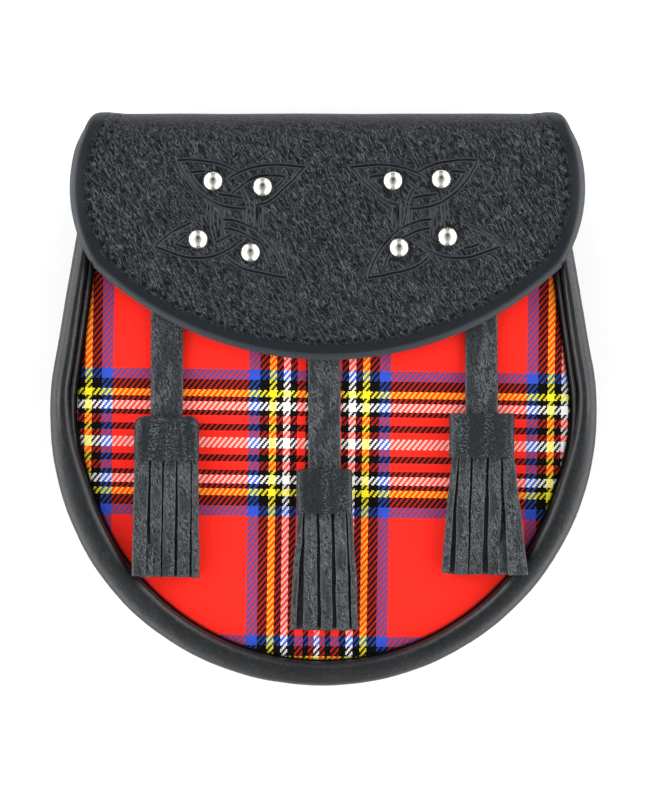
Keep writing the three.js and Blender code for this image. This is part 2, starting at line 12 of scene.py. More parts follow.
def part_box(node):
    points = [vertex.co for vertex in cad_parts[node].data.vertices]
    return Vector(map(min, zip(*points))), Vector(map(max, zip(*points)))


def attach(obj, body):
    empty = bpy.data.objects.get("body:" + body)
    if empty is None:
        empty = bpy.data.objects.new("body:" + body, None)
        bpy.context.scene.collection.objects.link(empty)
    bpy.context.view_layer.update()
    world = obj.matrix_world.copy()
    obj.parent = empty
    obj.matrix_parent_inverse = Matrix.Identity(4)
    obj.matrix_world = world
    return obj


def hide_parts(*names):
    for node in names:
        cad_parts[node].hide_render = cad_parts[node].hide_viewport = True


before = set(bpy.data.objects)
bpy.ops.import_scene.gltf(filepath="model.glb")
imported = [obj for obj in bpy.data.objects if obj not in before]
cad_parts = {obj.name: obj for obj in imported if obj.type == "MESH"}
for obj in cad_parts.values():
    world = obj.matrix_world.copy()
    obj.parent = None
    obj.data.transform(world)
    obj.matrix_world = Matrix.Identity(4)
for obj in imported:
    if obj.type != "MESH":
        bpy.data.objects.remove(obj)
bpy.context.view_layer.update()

MM = 0.001

# Body
BODY_WIDTH = 194
BODY_HEIGHT = 203
BODY_DEPTH = 36
GAP = 0.3
SIDE_LEAN = radians(9.8)
TARTAN_LEAN = radians(7.5)
EDGE_BOTTOM_SHARE = 0.8
GUSSET_WALL = 2
ROLL_WIDTH = 7.4
SEAT_FLAT = 0.3
FLANGE_WIDTH = 7
FLANGE_BEND = 1.2
WAIST_DEPTH = 2
MOUTH_FOLD = 6.5
MOUTH_SLOPE = 6
PANEL_THICKNESS = 2.5
FRONT_RECESS = 5
TARTAN_CROWN = 2.4
TARTAN_TOP_GAP = 17.5
PIPING_WIDTH = 1.6
PIPING_TOP = 33
PIPING_SINK = 3.6
GROOVE_WIDTH = 2
PIPING_SHOW = 0.4
PIPING_RISE = 1.3
SIDE_NARROWING = 0.7
TARTAN_REACH = 2.1
ROLL_SWELL = 3.3
ROLL_CREST = 5.2
ROLL_CREST_LOW = 7
# The bottom left of the body is stuffed a little fuller, round this turn of its outline
FULLER = 1.3
FULLER_TURN = -0.45
FULLER_SPREAD = 0.26
# The share of the outline's length that each straight side takes
SIDE_SHARE = 0.165

# Flap
FLAP_SHIFT = 1.4
FLAP_WIDTH = 181.2
FLAP_DROP = 86.8
FLAP_SIDE_RADIUS = 50
FLAP_SIDE_DROP = 26.5
FLAP_SHOULDER = 10.2
FLAP_TIP_RADIUS = 120
FLAP_FRONT_BEND = 12
FLAP_REAR_BEND = 8
FLAP_TAB_HEIGHT = 13.5
FLAP_TAB_SIDE_GAP = 3.5
FLAP_LEATHER = 1.6
LINING_LEATHER = 1.1
LINING_SHOW = 0.7
FLAP_DOME = 1.2
FLAP_TIP_SINK = 0.3
FLAP_SIDE_DROOP = 1.4
FLAP_DROOP_WIDTH = 6.6
# Over its top the flap swells at the corners, and by the sink less between them: where along the leather
# the swell rises and where past the start of the top it fades, and how far out the sink ends
TOP_SWELL = 0.75
TOP_SINK = 0.55
SWELL_RISE = (92, 103)
SWELL_FADE = (4, 14)
SINK_SIDES = (72, 76.5)

# Where the knots lie on the flap, from its middle and up, and the steps of its mesh there and elsewhere
KNOT_SIDES = (6, 62)
KNOT_HEIGHTS = (29, 84)
KNOT_STEP = 0.43
PLAIN_STEP = 1.5

# What is pressed into the flap: how deep, and the distances at which it starts and stops to rise
KNOT_PRESS = (0.3, 0, 0.65)
SEAM_PRESS = (0.15, 0.2, 1.5)
HOLE_PRESS = (0.3, 0.2, 1.4)
STUD_PRESS = (0.25, 3.2, 5.6)

# Loops on the back
LOOP_WIDTH = 22
LOOP_HEIGHT = 46
LOOP_LEATHER = 2
LOOP_TUNNEL = 4.8
LOOP_SEAM = 7
LOOP_BEND = 4
LOOP_SPACING = 92
LOOP_BELOW_TAB = 1.5
LOOP_OFF_FLOOR = 0.4

# Tassels
STRAP_WIDTH = 11.5
STRAP_LEATHER = 2
STRAP_TUCK = 17
STRAP_IN_CAP = 4
CAP_SHOULDER = 5.75
CAP_HEIGHT = 15.8
CAP_WALL = 1.5
CAP_ROOM = 1.5
FRINGE_LENGTH = 41.5
STRIP_SPREAD = 0.12

# Studs
STUD_DIAMETER = 7
STUD_HEIGHT = 2.8
STUD_RIM_SHARE = 0.95
STUD_RIM_HEIGHT = 1.1
STUD_LIFT = 0.15

# Seams
STITCH_PITCH = 4.4
STITCH_INSET = 6
STITCH_DEPTH = 0.3
# The length and thickness of each thread that shows
FLAP_THREAD = (1.7, 1.15)
BACK_THREAD = (2.2, 0.6)
SEAM_OVER_TOP = 8
BACK_STITCH_PITCH = 2.8

FLOOR_WIDTH = 5

# Worked out from the sizes above
TOP_Y = BODY_HEIGHT / 2
BOTTOM_RADIUS = BODY_WIDTH / 2
EDGE_WIDTH_SIDE = ROLL_WIDTH + GAP + PIPING_WIDTH + GROOVE_WIDTH
EDGE_WIDTH_BOTTOM = EDGE_BOTTOM_SHARE * EDGE_WIDTH_SIDE
TARTAN_RADIUS = BOTTOM_RADIUS - EDGE_WIDTH_SIDE
TARTAN_CENTRE_Y = TARTAN_RADIUS + EDGE_WIDTH_BOTTOM - TOP_Y
BODY_OUTLINE = (BOTTOM_RADIUS, BOTTOM_RADIUS - TOP_Y, SIDE_LEAN)
TARTAN_OUTLINE = (TARTAN_RADIUS, TARTAN_CENTRE_Y, TARTAN_LEAN)
ROLL_RADIUS = ROLL_WIDTH / 2
FRONT_FACE = BODY_DEPTH - FRONT_RECESS
FRONT_FLANGE = FRONT_FACE - PANEL_THICKNESS - GAP
REAR_FACE = LOOP_TUNNEL + LOOP_LEATHER + LOOP_OFF_FLOOR
GUSSET_TOP = TOP_Y - FLAP_REAR_BEND
FLAP_THICKNESS = FLAP_LEATHER + GAP + LINING_LEATHER
FLAP_FRONT = BODY_DEPTH + GAP + FLAP_THICKNESS
FLAP_REAR = REAR_FACE - GAP - FLAP_THICKNESS
FLAP_HALF = FLAP_WIDTH / 2
FLAP_TIP = TOP_Y - FLAP_DROP
CAP_THICKNESS = STRAP_LEATHER + 2 * (CAP_WALL + CAP_ROOM)

# The flap's pattern, measured as y on the front and then along the leather over the top
FRONT_BEND_START = TOP_Y - FLAP_FRONT_BEND
TOP_START = FRONT_BEND_START + FLAP_FRONT_BEND * pi / 2
REAR_BEND_START = TOP_START + FLAP_FRONT - FLAP_FRONT_BEND - FLAP_REAR - FLAP_REAR_BEND
TAB_START = REAR_BEND_START + FLAP_REAR_BEND * pi / 2
TAB_END = TAB_START + FLAP_TAB_HEIGHT
SIDE_CENTRE = Vector((FLAP_HALF - FLAP_SIDE_RADIUS, TOP_Y - FLAP_SIDE_DROP))
TIP_CENTRE = Vector((0, FLAP_TIP + FLAP_TIP_RADIUS))
SHOULDER_START = TOP_Y - FLAP_SHOULDER


def mix(start, end, share):
    return start + (end - start) * share


def smooth(value, start, end):
    share = min(1, max(0, (value - start) / (end - start)))
    return share * share * (3 - 2 * share)


# Colours and shader nodes


def linear(code):
    """An sRGB hex colour as linear red, green, blue and alpha."""
    channels = [int(code[i:i + 2], 16) / 255 for i in (1, 3, 5)]
    return [c / 12.92 if c <= 0.04045 else ((c + 0.055) / 1.055) ** 2.4 for c in channels] + [1]


def add(tree, kind, *inputs, output=0, **settings):
    """Adds a shader node with its settings, sets or links its inputs, and returns one of its outputs. The
    inputs are given in their order, or as one dictionary by name or number."""
    made = tree.nodes.new("ShaderNode" + kind)
    for name, value in settings.items():
        setattr(made, name, value)
    given = inputs[0] if inputs and isinstance(inputs[0], dict) else dict(enumerate(inputs))
    for key, value in given.items():
        if isinstance(value, bpy.types.NodeSocket):
            tree.links.new(value, made.inputs[key])
        else:
            made.inputs[key].default_value = value
    return made.outputs[output] if made.outputs else None


# Settings that many nodes share. EASED brings a value smoothly from one range to another.
EASED = {"interpolation_type": "SMOOTHSTEP"}
COLOURS = {"data_type": "RGBA", "output": 2}
TIMES = {"operation": "MULTIPLY"}
TIMES_PLUS = {"operation": "MULTIPLY_ADD"}
MINUS = {"operation": "SUBTRACT"}
OVER = {"operation": "DIVIDE"}


def painted(tree, ground, *layers):
    """A ground colour under layers, each given as the share of it that shows and its colour."""
    colour = linear(ground)
    for share, layer in layers:
        colour = add(tree, "Mix", {0: share, 6: colour, 7: linear(layer)}, **COLOURS)
    return colour


def in_millimetres(tree, rotation=(0, 0, 0), stretch=(1, 1, 1)):
    """The place on the object in millimetres, turned and then stretched."""
    place = add(tree, "TexCoord", output="Object")
    turned = add(tree, "Mapping", {"Vector": place, "Rotation": rotation})
    return add(tree, "Mapping", {"Vector": turned, "Scale": [factor / MM for factor in stretch]})


def grain(tree, length, width, turn, spread):
    """The grain of a leather: the height of its long soft ridges, and thin lines on their crests for
    painted highlights.
    """
    place = in_millimetres(tree, (0, 0, radians(turn)), (1 / length, 1 / width, 1 / width))
    wave = add(tree, "TexNoise", {"Vector": place, "Scale": 1, "Detail": 1.5, "Distortion": spread})
    off = add(tree, "Math", add(tree, "Math", wave, 0.5, **MINUS), operation="ABSOLUTE")
    patches = add(tree, "TexNoise", {"Vector": place, "Scale": 1.7, "Detail": 1})
    line = add(tree, "MapRange", off, 0.032, 0.012, **EASED)
    glints = add(tree, "Math", line, add(tree, "MapRange", patches, 0.42, 0.56, **EASED), **TIMES)
    return add(tree, "MapRange", off, 0.1, 0, **EASED), glints


# Vegetable-tanned cowhide, dyed black and printed with a slanting grain: black, with grey highlights
# painted on thin ridges of the grain, and smooth along its edges, where it was burnished, with a painted
# sheen over that margin and a painted highlight along its rounded rim. The grooves of the pressed knots are
# painted dark as shade and their lips painted grey as highlights, and towards the top, where the flap bends
# over, the grain is stretched flat and its painted highlights fade.
def grained_leather(tree):
    height, glints = grain(tree, 4.2, 1.5, 60, 0.5)
    small_height, small_glints = grain(tree, 2.6, 0.95, 52, 0.6)
    place = in_millimetres(tree)
    fine = add(tree, "TexNoise", {"Vector": place, "Scale": 1.5, "Detail": 4})
    soft = add(tree, "TexNoise", {"Vector": place, "Scale": 0.09, "Detail": 2})
    up = add(tree, "SeparateXYZ", place, output=1)
    knot = add(tree, "Attribute", attribute_name="knot_mm", output="Fac")
    edge = add(tree, "Attribute", attribute_name="edge_mm", output="Fac")
    grained = add(tree, "MapRange", edge, 3.4, 6.4, **EASED)
    grained = add(tree, "Math", grained, add(tree, "MapRange", knot, 0.5, 1.3, **EASED), **TIMES)
    # Towards the top the grain and its painted highlights fade
    grained = add(tree, "Math", grained, add(tree, "MapRange", up, 92, 99, 1, 0.45, **EASED), **TIMES)
    small_lines = add(tree, "Math", small_glints, 0.6, **TIMES)
    lines = add(tree, "Math", glints, small_lines, operation="MAXIMUM")
    # The lips of the knots' grooves, where a grey highlight is painted
    lip_highlight = add(tree, "MapRange", knot, 0.95, 0.7, 0, 0.6, **EASED)
    lip_highlight = add(tree, "Math", add(tree, "MapRange", knot, 0.3, 0.5, **EASED), lip_highlight, **TIMES)
    colour = painted(
        tree, "#030405",
        (add(tree, "MapRange", fine, 0.35, 0.65, **EASED), "#14171C"),
        # A painted sheen over the smooth margin, and a painted highlight along the rounded rim
        (add(tree, "MapRange", edge, 6, 3, **EASED), "#191C20"),
        (add(tree, "MapRange", edge, 2, 0.8, **EASED), "#2E3236"),
        # Painted shade in the knots' grooves
        (add(tree, "MapRange", knot, 0.45, 0.15, **EASED), "#0D0F11"),
        # Painted grey highlights on the grain's ridges
        (add(tree, "Math", lines, grained, **TIMES), "#444950"),
        (lip_highlight, "#3A3E44"),
    )
    relief = add(tree, "Math", small_height, 0.5, height, **TIMES_PLUS)
    relief = add(tree, "Math", add(tree, "Math", fine, 0.8, relief, **TIMES_PLUS), grained, **TIMES)
    relief = add(tree, "Math", soft, 0.8, relief, **TIMES_PLUS)
    bump = add(tree, "Bump", {"Height": relief, "Strength": 0.7, "Distance": 0.2 * MM})
    groove = add(tree, "MapRange", knot, 0, 0.5, **EASED)
    bump = add(tree, "Bump", {"Height": groove, "Strength": 0.8, "Distance": 0.3 * MM, "Normal": bump})
    rough = add(tree, "MapRange", knot, 0.5, 0.2, 0.33, 0.22, **EASED)
    rough = add(tree, "Math", rough, add(tree, "MapRange", up, 97.5, 101, 1, 1.5, **EASED), **TIMES)
    return {"Base Color": colour, "Roughness": rough, "Normal": bump, "Specular IOR Level": 0.18}


# The same hide cut into straps and strips, where the grain runs less deep and whole patches lie smooth.
def strap_leather(tree):
    height, glints = grain(tree, 2.2, 1, 66, 0.7)
    fine = add(tree, "TexNoise", {"Vector": in_millimetres(tree), "Scale": 1.8, "Detail": 4})
    along = in_millimetres(tree, stretch=(1, 0.3, 1))
    patches = add(tree, "TexNoise", {"Vector": along, "Scale": 0.22, "Detail": 1})
    grained = add(tree, "MapRange", patches, 0.4, 0.58, 0.2, 1, **EASED)
    # Grey highlights are painted on the grain's ridges, except where patches lie smooth
    colour = painted(
        tree, "#090B0D",
        (add(tree, "MapRange", fine, 0.35, 0.62, **EASED), "#272B30"),
        (add(tree, "Math", glints, grained, **TIMES), "#53585D"),
    )
    relief = add(tree, "Math", fine, 0.4, add(tree, "Math", height, grained, **TIMES), **TIMES_PLUS)
    bump = add(tree, "Bump", {"Height": relief, "Strength": 0.8, "Distance": 0.25 * MM})
    return {"Base Color": colour, "Roughness": 0.36, "Normal": bump, "Specular IOR Level": 0.42}


# Thin calf that was wrapped wet round the tassels' heads and dried into fine pebbles, with grey highlights
# painted on the pebbles in bands down the wrap.
def wrapped_leather(tree):
    close = in_millimetres(tree, (0, 0, 0.1), (1.3, 1.9, 1.3))
    pebbles = add(tree, "TexNoise", {"Vector": close, "Scale": 1, "Detail": 1, "Distortion": 0.4})
    bands = add(tree, "TexNoise", {"Vector": in_millimetres(tree, stretch=(1, 0.12, 1)), "Scale": 0.3})
    # Bands of grey highlights painted on the pebbles
    pebble_glints = add(tree, "MapRange", bands, 0.4, 0.6, 0.15, 1, **EASED)
    pebble_glints = add(tree, "Math", add(tree, "MapRange", pebbles, 0.48, 0.66, **EASED), pebble_glints, **TIMES)
    colour = painted(tree, "#1B1E21", (pebble_glints, "#464B50"))
    bump = add(tree, "Bump", {"Height": pebbles, "Strength": 0.5, "Distance": 0.2 * MM})
    return {"Base Color": colour, "Roughness": 0.4, "Normal": bump, "Specular IOR Level": 0.17}


# Soft black calf with an almost smooth, waxed face: a broad satin sheen over fine pores and soft creases.
def smooth_leather(tree):
    place = in_millimetres(tree)
    pores = add(tree, "TexNoise", {"Vector": place, "Scale": 2.6, "Detail": 3})
    folds = add(tree, "TexNoise", {"Vector": place, "Scale": 0.22, "Detail": 4, "Distortion": 0.8})
    clouds = add(tree, "TexNoise", {"Vector": place, "Scale": 0.05, "Detail": 2})
    height, glints = grain(tree, 2.6, 1.3, 80, 0.9)
    # Faint grey highlights painted on the grain's ridges
    faint_glints = add(tree, "Math", glints, 0.12, **TIMES)
    colour = painted(tree, "#0B0D0F", (clouds, "#15171A"), (faint_glints, "#5E6165"))
    rough = add(tree, "MapRange", clouds, 0.3, 0.7, 0.36, 0.42, **EASED)
    relief = add(tree, "Math", pores, 0.15, add(tree, "Math", height, 0.1, **TIMES), **TIMES_PLUS)
    relief = add(tree, "Math", folds, 1.6, relief, **TIMES_PLUS)
    bump = add(tree, "Bump", {"Height": relief, "Strength": 0.5, "Distance": 0.25 * MM})
    return {"Base Color": colour, "Roughness": rough, "Normal": bump, "Specular IOR Level": 0.36}


# Thin split leather with a dull, brushed face.
def lining_leather(tree):
    nap = add(tree, "TexNoise", {"Vector": in_millimetres(tree), "Scale": 1.5, "Detail": 5})
    colour = painted(tree, "#1D1E20", (nap, "#36383B"))
    bump = add(tree, "Bump", {"Height": nap, "Strength": 0.4, "Distance": 0.1 * MM})
    return {"Base Color": colour, "Roughness": 0.7, "Normal": bump, "IOR": 1.45}


# Black linen thread drawn through wax, twisted from strands and pulled deep into its holes; its near-black
# colour is partly the black thread and partly painted shade of the holes it lies in.
def waxed_thread(tree):
    strands = add(tree, "TexWave", {"Vector": in_millimetres(tree, (0, 0, 0.8)), "Scale": 0.9})
    colour = painted(tree, "#020202", (strands, "#0D0D0E"))
    bump = add(tree, "Bump", {"Height": strands, "Strength": 0.5, "Distance": 0.1 * MM})
    return {"Base Color": colour, "Roughness": 0.8, "Normal": bump, "Specular IOR Level": 0.1}


# Brass domes with polished nickel plate: bright, slightly warm mirrors with faint polishing haze.
def nickel_plate(tree):
    haze = add(tree, "TexNoise", {"Vector": in_millimetres(tree), "Scale": 0.5, "Detail": 3})
    rough = add(tree, "MapRange", haze, 0.3, 0.7, 0.16, 0.24, **EASED)
    return {"Base Color": painted(tree, "#D0CFC3", (haze, "#E6E5DC")), "Roughness": rough, "Metallic": 1}


# The tartan's sett from one pivot to the next, in threads, with the pivots' stripes at half their width
WARP_SETT = (
    ("white", 2), ("red", 4), ("black", 4), ("red", 6), ("black", 5), ("white", 5), ("black", 5),
    ("yellow", 5), ("black", 7), ("blue", 8), ("red", 49),
)
WEFT_SETT = (
    ("white", 3), ("red", 4), ("black", 4), ("red", 5), ("black", 3), ("white", 5), ("black", 3),
    ("yellow", 4), ("black", 6), ("blue", 6), ("red", 35),
)
YARNS = {"red": "#F5281D", "white": "#F4F2EE", "black": "#050404", "yellow": "#F4E321", "blue": "#2E4BBA"}
# The width of a thread in millimetres, and where the pivot lies
WARP = (0.493, -1.35, WARP_SETT)
WEFT = (0.604, -15.7, WEFT_SETT)
TARTAN_TURN = radians(0.78)
# How much of the crossing yarn's colour shows through the fuzz of the yarn on top
YARN_FUZZ = 0.17


def yarn_colour(tree, thread, sett, share):
    """The colour of the yarn with this number, counted from a pivot, raised to a share."""
    total = sum(count for name, count in sett)
    folded = add(tree, "Math", add(tree, "Math", thread, 0.5), total, operation="PINGPONG")
    colour = add(tree, "ValToRGB", add(tree, "Math", folded, total, **OVER))
    ramp = colour.node.color_ramp
    ramp.interpolation = "CONSTANT"
    start = 0
    for i, (name, count) in enumerate(sett):
        stop = ramp.elements[i] if i < 2 else ramp.elements.new(start / total)
        stop.position = start / total
        stop.color = [channel ** share for channel in linear(YARNS[name])]
        start += count
    return colour


# Worsted wool in a two-by-two twill, bonded to a stiff front: flat saturated colours, with the twill's
# diagonal showing where two colours cross. A light yarn on top hides a dark one under it.
def tartan_cloth(tree):
    axes = add(tree, "SeparateXYZ", in_millimetres(tree, (0, 0, TARTAN_TURN))).node.outputs
    threads, yarns, crowns = [], [], []
    for axis, (width, pivot, sett) in zip(axes, (WARP, WEFT)):
        along = add(tree, "Math", add(tree, "Math", axis, pivot, **MINUS), width, **OVER)
        threads.append(add(tree, "Math", along, operation="FLOOR"))
        across = add(tree, "Math", along, operation="FRACT")
        crowns.append(add(tree, "Math", add(tree, "Math", across, pi, **TIMES), operation="SINE"))
        shares = (1 - YARN_FUZZ, YARN_FUZZ)
        yarns.append([yarn_colour(tree, threads[-1], sett, share) for share in shares])
    step = add(tree, "Math", add(tree, "Math", *threads, **MINUS), 4, operation="FLOORED_MODULO")
    warp_over = add(tree, "Math", step, 1.5, operation="LESS_THAN")
    (warp, warp_fuzz), (weft, weft_fuzz) = yarns
    over = add(tree, "Mix", {0: warp_over, 6: weft, 7: warp}, **COLOURS)
    under = add(tree, "Mix", {0: warp_over, 6: warp_fuzz, 7: weft_fuzz}, **COLOURS)
    lightness = add(tree, "SeparateXYZ", over, output=1)
    darkness = add(tree, "Math", 1, add(tree, "SeparateXYZ", under), **MINUS)
    cover = add(tree, "Math", lightness, darkness, **TIMES)
    both = add(tree, "VectorMath", over, under, **TIMES)
    colour = add(tree, "Mix", {0: cover, 6: both, 7: over}, **COLOURS)
    crown = add(tree, "Mix", {0: warp_over, 2: crowns[1], 3: crowns[0]})
    fuzz = add(tree, "TexNoise", {"Vector": in_millimetres(tree), "Scale": 3, "Detail": 3})
    # Each thread is painted darker towards its edges, as shade where it rounds away, under a random tone
    # from the fuzz
    shade = add(tree, "Math", crown, 0.16, add(tree, "Math", fuzz, 0.12, 0.8, **TIMES_PLUS), **TIMES_PLUS)
    colour = add(tree, "VectorMath", {0: colour, 3: shade}, operation="SCALE")
    bump = add(tree, "Bump", {"Height": crown, "Strength": 0.35, "Distance": 0.1 * MM})
    return {"Base Color": colour, "Roughness": 0.85, "Normal": bump, "Specular IOR Level": 0.08,
            "Sheen Weight": 0.03}


# White paper, hardly darker than the tent around it
def white_paper(tree):
    fibres = add(tree, "TexNoise", {"Vector": in_millimetres(tree), "Scale": 0.02})
    colour = painted(tree, "#FBFBFB", (fibres, "#FDFDFD"))
    return {"Base Color": colour, "Roughness": 0.9, "Specular IOR Level": 0.1}


def made_of(name, surface):
    """A material from a function that adds its nodes to a tree and returns the shader's inputs."""
    made = bpy.data.materials.new(name)
    made.use_nodes = True
    tree = made.node_tree
    tree.nodes.clear()
    add(tree, "OutputMaterial", add(tree, "BsdfPrincipled", surface(tree)))
    return made


GRAINED = made_of("slant_grained_cowhide", grained_leather)
STRAP = made_of("soft_grained_cowhide", strap_leather)
WRAPPED = made_of("pebbled_black_calf", wrapped_leather)
SMOOTH = made_of("waxed_black_calf", smooth_leather)
LINING = made_of("matt_lining_leather", lining_leather)
THREAD = made_of("waxed_linen_thread", waxed_thread)
NICKEL = made_of("polished_nickel_plate", nickel_plate)
TARTAN = made_of("worsted_wool_twill", tartan_cloth)
PAPER = made_of("white_paper", white_paper)


# Making pieces


def sheet_mesh(columns, rows, place):
    """A bmesh grid whose corner at a column and a row is where place says, in millimetres."""
    mesh = bmesh.new()
    bmesh.ops.create_grid(mesh, x_segments=columns, y_segments=rows, size=0.5)
    for corner in mesh.verts:
        column = round((corner.co.x + 0.5) * columns)
        row = round((corner.co.y + 0.5) * rows)
        corner.co = place(column, row)
    return mesh


def closed_up(mesh):
    """Joins what meets, fills open ends and turns the faces outwards."""
    bmesh.ops.remove_doubles(mesh, verts=mesh.verts, dist=0.002)
    bmesh.ops.dissolve_degenerate(mesh, edges=mesh.edges, dist=0.001)
    bmesh.ops.holes_fill(mesh, edges=mesh.edges)
    bmesh.ops.recalc_face_normals(mesh, faces=mesh.faces)
    return mesh


def finished(name, mesh, material, slot, *nodes):
    """Makes a bmesh in millimetres a piece that takes the place of CAD nodes."""
    bmesh.ops.scale(mesh, vec=(MM, MM, MM), verts=mesh.verts)
    data = bpy.data.meshes.new(name)
    mesh.to_mesh(data)
    mesh.free()
    data.shade_smooth()
    data.materials.append(material)
    made = bpy.data.objects.new(name, data)
    bpy.context.scene.collection.objects.link(made)
    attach(made, "root")
    if nodes:
        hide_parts(*nodes)
    return made


def wavering(x, y, z, size, amount):
    """A small soft unevenness of hand work, the same at each run."""
    return amount * noise.noise(Vector((x, y, z)) / size)


# The body's outline


def outline_place(travel):
    """Turn, rise and side at a share of the way from the top left, round the bottom, to the top right."""
    if travel < SIDE_SHARE:
        return -1, 1 - travel / SIDE_SHARE, -1
    if travel > 1 - SIDE_SHARE:
        return 1, 1 - (1 - travel) / SIDE_SHARE, 1
    turn = 2 * (travel - SIDE_SHARE) / (1 - 2 * SIDE_SHARE) - 1
    return turn, 0, copysign(1, turn)


def outline_point(outline, place, top):
    radius, centre_y, lean = outline
    turn, rise, side = place
    angle = turn * (pi / 2 + lean)
    x = radius * sin(angle)
    y = centre_y - radius * cos(angle)
    climb = rise * (top - y)
    return Vector((x - side * climb * tan(lean), y + climb))


def edge_point(place, top, inward):
    outer = outline_point(BODY_OUTLINE, place, top)
    return outer.lerp(outline_point(TARTAN_OUTLINE, place, top), inward / EDGE_WIDTH_SIDE)


def tartan_height(x, y):
    reach = hypot(x, y - TARTAN_CENTRE_Y) / TARTAN_RADIUS
    return FRONT_FACE + TARTAN_CROWN * max(0, 1 - reach * reach)


def rest_height(x, y):
    over_roll = hypot(x, y - TARTAN_CENTRE_Y) > TARTAN_RADIUS
    return BODY_DEPTH if over_roll else tartan_height(x, y)


# Gusset


def gusset_section(fold):
    """Inward distance and height from the flange at the front, round both rolls, to the one at the rear."""
    rear_flange = REAR_FACE + PANEL_THICKNESS + GAP
    front_roll = BODY_DEPTH - ROLL_RADIUS
    rear_roll = ROLL_RADIUS - SEAT_FLAT
    flange_start = ROLL_WIDTH + FLANGE_BEND
    points = [(flange_start + FLANGE_WIDTH * (1 - i / 4), FRONT_FLANGE) for i in range(4)]

    def arc(inward, z, radius, start, end, steps):
        for i in range(steps + 1):
            angle = radians(mix(start, end, i / steps))
            points.append((inward + radius * cos(angle), max(0, z + radius * sin(angle))))

    arc(flange_start, FRONT_FLANGE + FLANGE_BEND, FLANGE_BEND, -90, -180, 4)
    arc(ROLL_RADIUS, front_roll, ROLL_RADIUS, 0, 180, 22)
    wall_steps = 16
    for i in range(1, wall_steps):
        share = i / wall_steps
        inward = fold * sin(pi * share) ** 2
        points.append((inward, mix(front_roll, rear_roll, share)))
    arc(ROLL_RADIUS, rear_roll, ROLL_RADIUS, 180, 360, 18)
    arc(flange_start, rear_flange - FLANGE_BEND, FLANGE_BEND, 180, 90, 4)
    points += [(flange_start + FLANGE_WIDTH * i / 4, rear_flange) for i in range(1, 5)]
    return points


def gusset():
    columns = 330
    places = [outline_place(column / columns) for column in range(columns + 1)]
    sections = [gusset_section(WAIST_DEPTH + MOUTH_FOLD * place[1] ** 4) for place in places]

    def place(column, row):
        inward, z = sections[column][row]
        end = GUSSET_TOP - MOUTH_SLOPE * z / BODY_DEPTH
        low = low_share(places[column])
        if z > BODY_DEPTH - ROLL_RADIUS - 0.01:
            crest = mix(ROLL_CREST, ROLL_CREST_LOW, low)
            across = inward / ROLL_RADIUS - 1
            inward = crest + across * (ROLL_WIDTH + ROLL_SWELL * low - crest if across > 0 else crest)
        if inward > ROLL_RADIUS:
            inward -= SIDE_NARROWING * (1 - low) * smooth(z, FRONT_FLANGE, FRONT_FLANGE + FLANGE_BEND)
        full = FULLER * exp(-((places[column][0] - FULLER_TURN) / FULLER_SPREAD) ** 2)
        point = edge_point(places[column], end, inward - full * max(0, 1 - inward / ROLL_WIDTH))
        at = point.x, point.y, z
        soft = 0 if z < 1 else wavering(*at, 16, 0.16) + wavering(*at, 5, 0.05)
        size = 1 + soft / BOTTOM_RADIUS
        return point.x * size, point.y * size, z + 0.5 * min(0, soft)

    mesh = sheet_mesh(columns, len(sections[0]) - 1, place)
    bmesh.ops.reverse_faces(mesh, faces=mesh.faces)
    made = finished("gusset_leather", mesh, SMOOTH, "smooth_leather", "gusset")
    wall = made.modifiers.new("wall", "SOLIDIFY")
    wall.thickness = GUSSET_WALL * MM
    wall.offset = -1
    return made


# Panels and piping


def panel_rim(top, inward, steps):
    places = [outline_place(i / steps) for i in range(steps + 1)]
    rim = [edge_point(place, top, inward(place)) for place in places]
    across = 40
    return rim + [rim[-1].lerp(rim[0], i / across) for i in range(1, across)]


def domed_panel(rim, shares, height, drops):
    """A closed wall from a rim: shares and drops give its rings, over its face and then back under it."""

    def place(column, row):
        point = rim[column % len(rim)]
        x = point.x * shares[row]
        y = mix(TARTAN_CENTRE_Y, point.y, shares[row])
        return x, y, height(x, y) - drops[row]

    return closed_up(sheet_mesh(len(rim), len(shares) - 1, place))


def rounded_rings(thickness, radius, inner_shares):
    """The shares and drops of a panel's rings, from the middle of its face, round its edge, to its back."""
    turn = [radians(90 * i / 5) for i in range(6)]
    face = [(1 - radius / TARTAN_RADIUS * (1 - sin(a)), radius * (1 - cos(a))) for a in turn]
    back = [(share, thickness - drop) for share, drop in reversed(face)]
    rings = [(share, 0) for share in inner_shares] + face + back
    rings += [(share, thickness) for share in reversed(inner_shares)]
    return [share for share, drop in rings], [drop for share, drop in rings]


def tartan_front():
    def inward(place):
        return EDGE_WIDTH_SIDE - TARTAN_REACH * (1 - low_share(place))

    rim = panel_rim(TOP_Y - TARTAN_TOP_GAP, inward, 260)
    inner = [i / 14 for i in range(14)]
    shares, drops = rounded_rings(PANEL_THICKNESS, 1.1, inner)
    mesh = domed_panel(rim, shares, tartan_height, drops)
    made = finished("tartan_front", mesh, TARTAN, "tartan", "tartan_panel")
    return made


def back_board():
    rim = panel_rim(GUSSET_TOP, lambda place: ROLL_WIDTH + FLANGE_BEND + GAP, 200)
    inner = [i / 10 for i in range(10)]
    shares, drops = rounded_rings(PANEL_THICKNESS, 0.8, inner)
    mesh = domed_panel(rim, shares, lambda x, y: REAR_FACE + PANEL_THICKNESS, drops)
    return finished("back_leather", mesh, SMOOTH, "smooth_leather", "back_panel")


def low_share(station):
    """From 0 on the pouch's sides to 1 along its round bottom."""
    return smooth(1 - abs(station[0]), 0.02, 0.26)


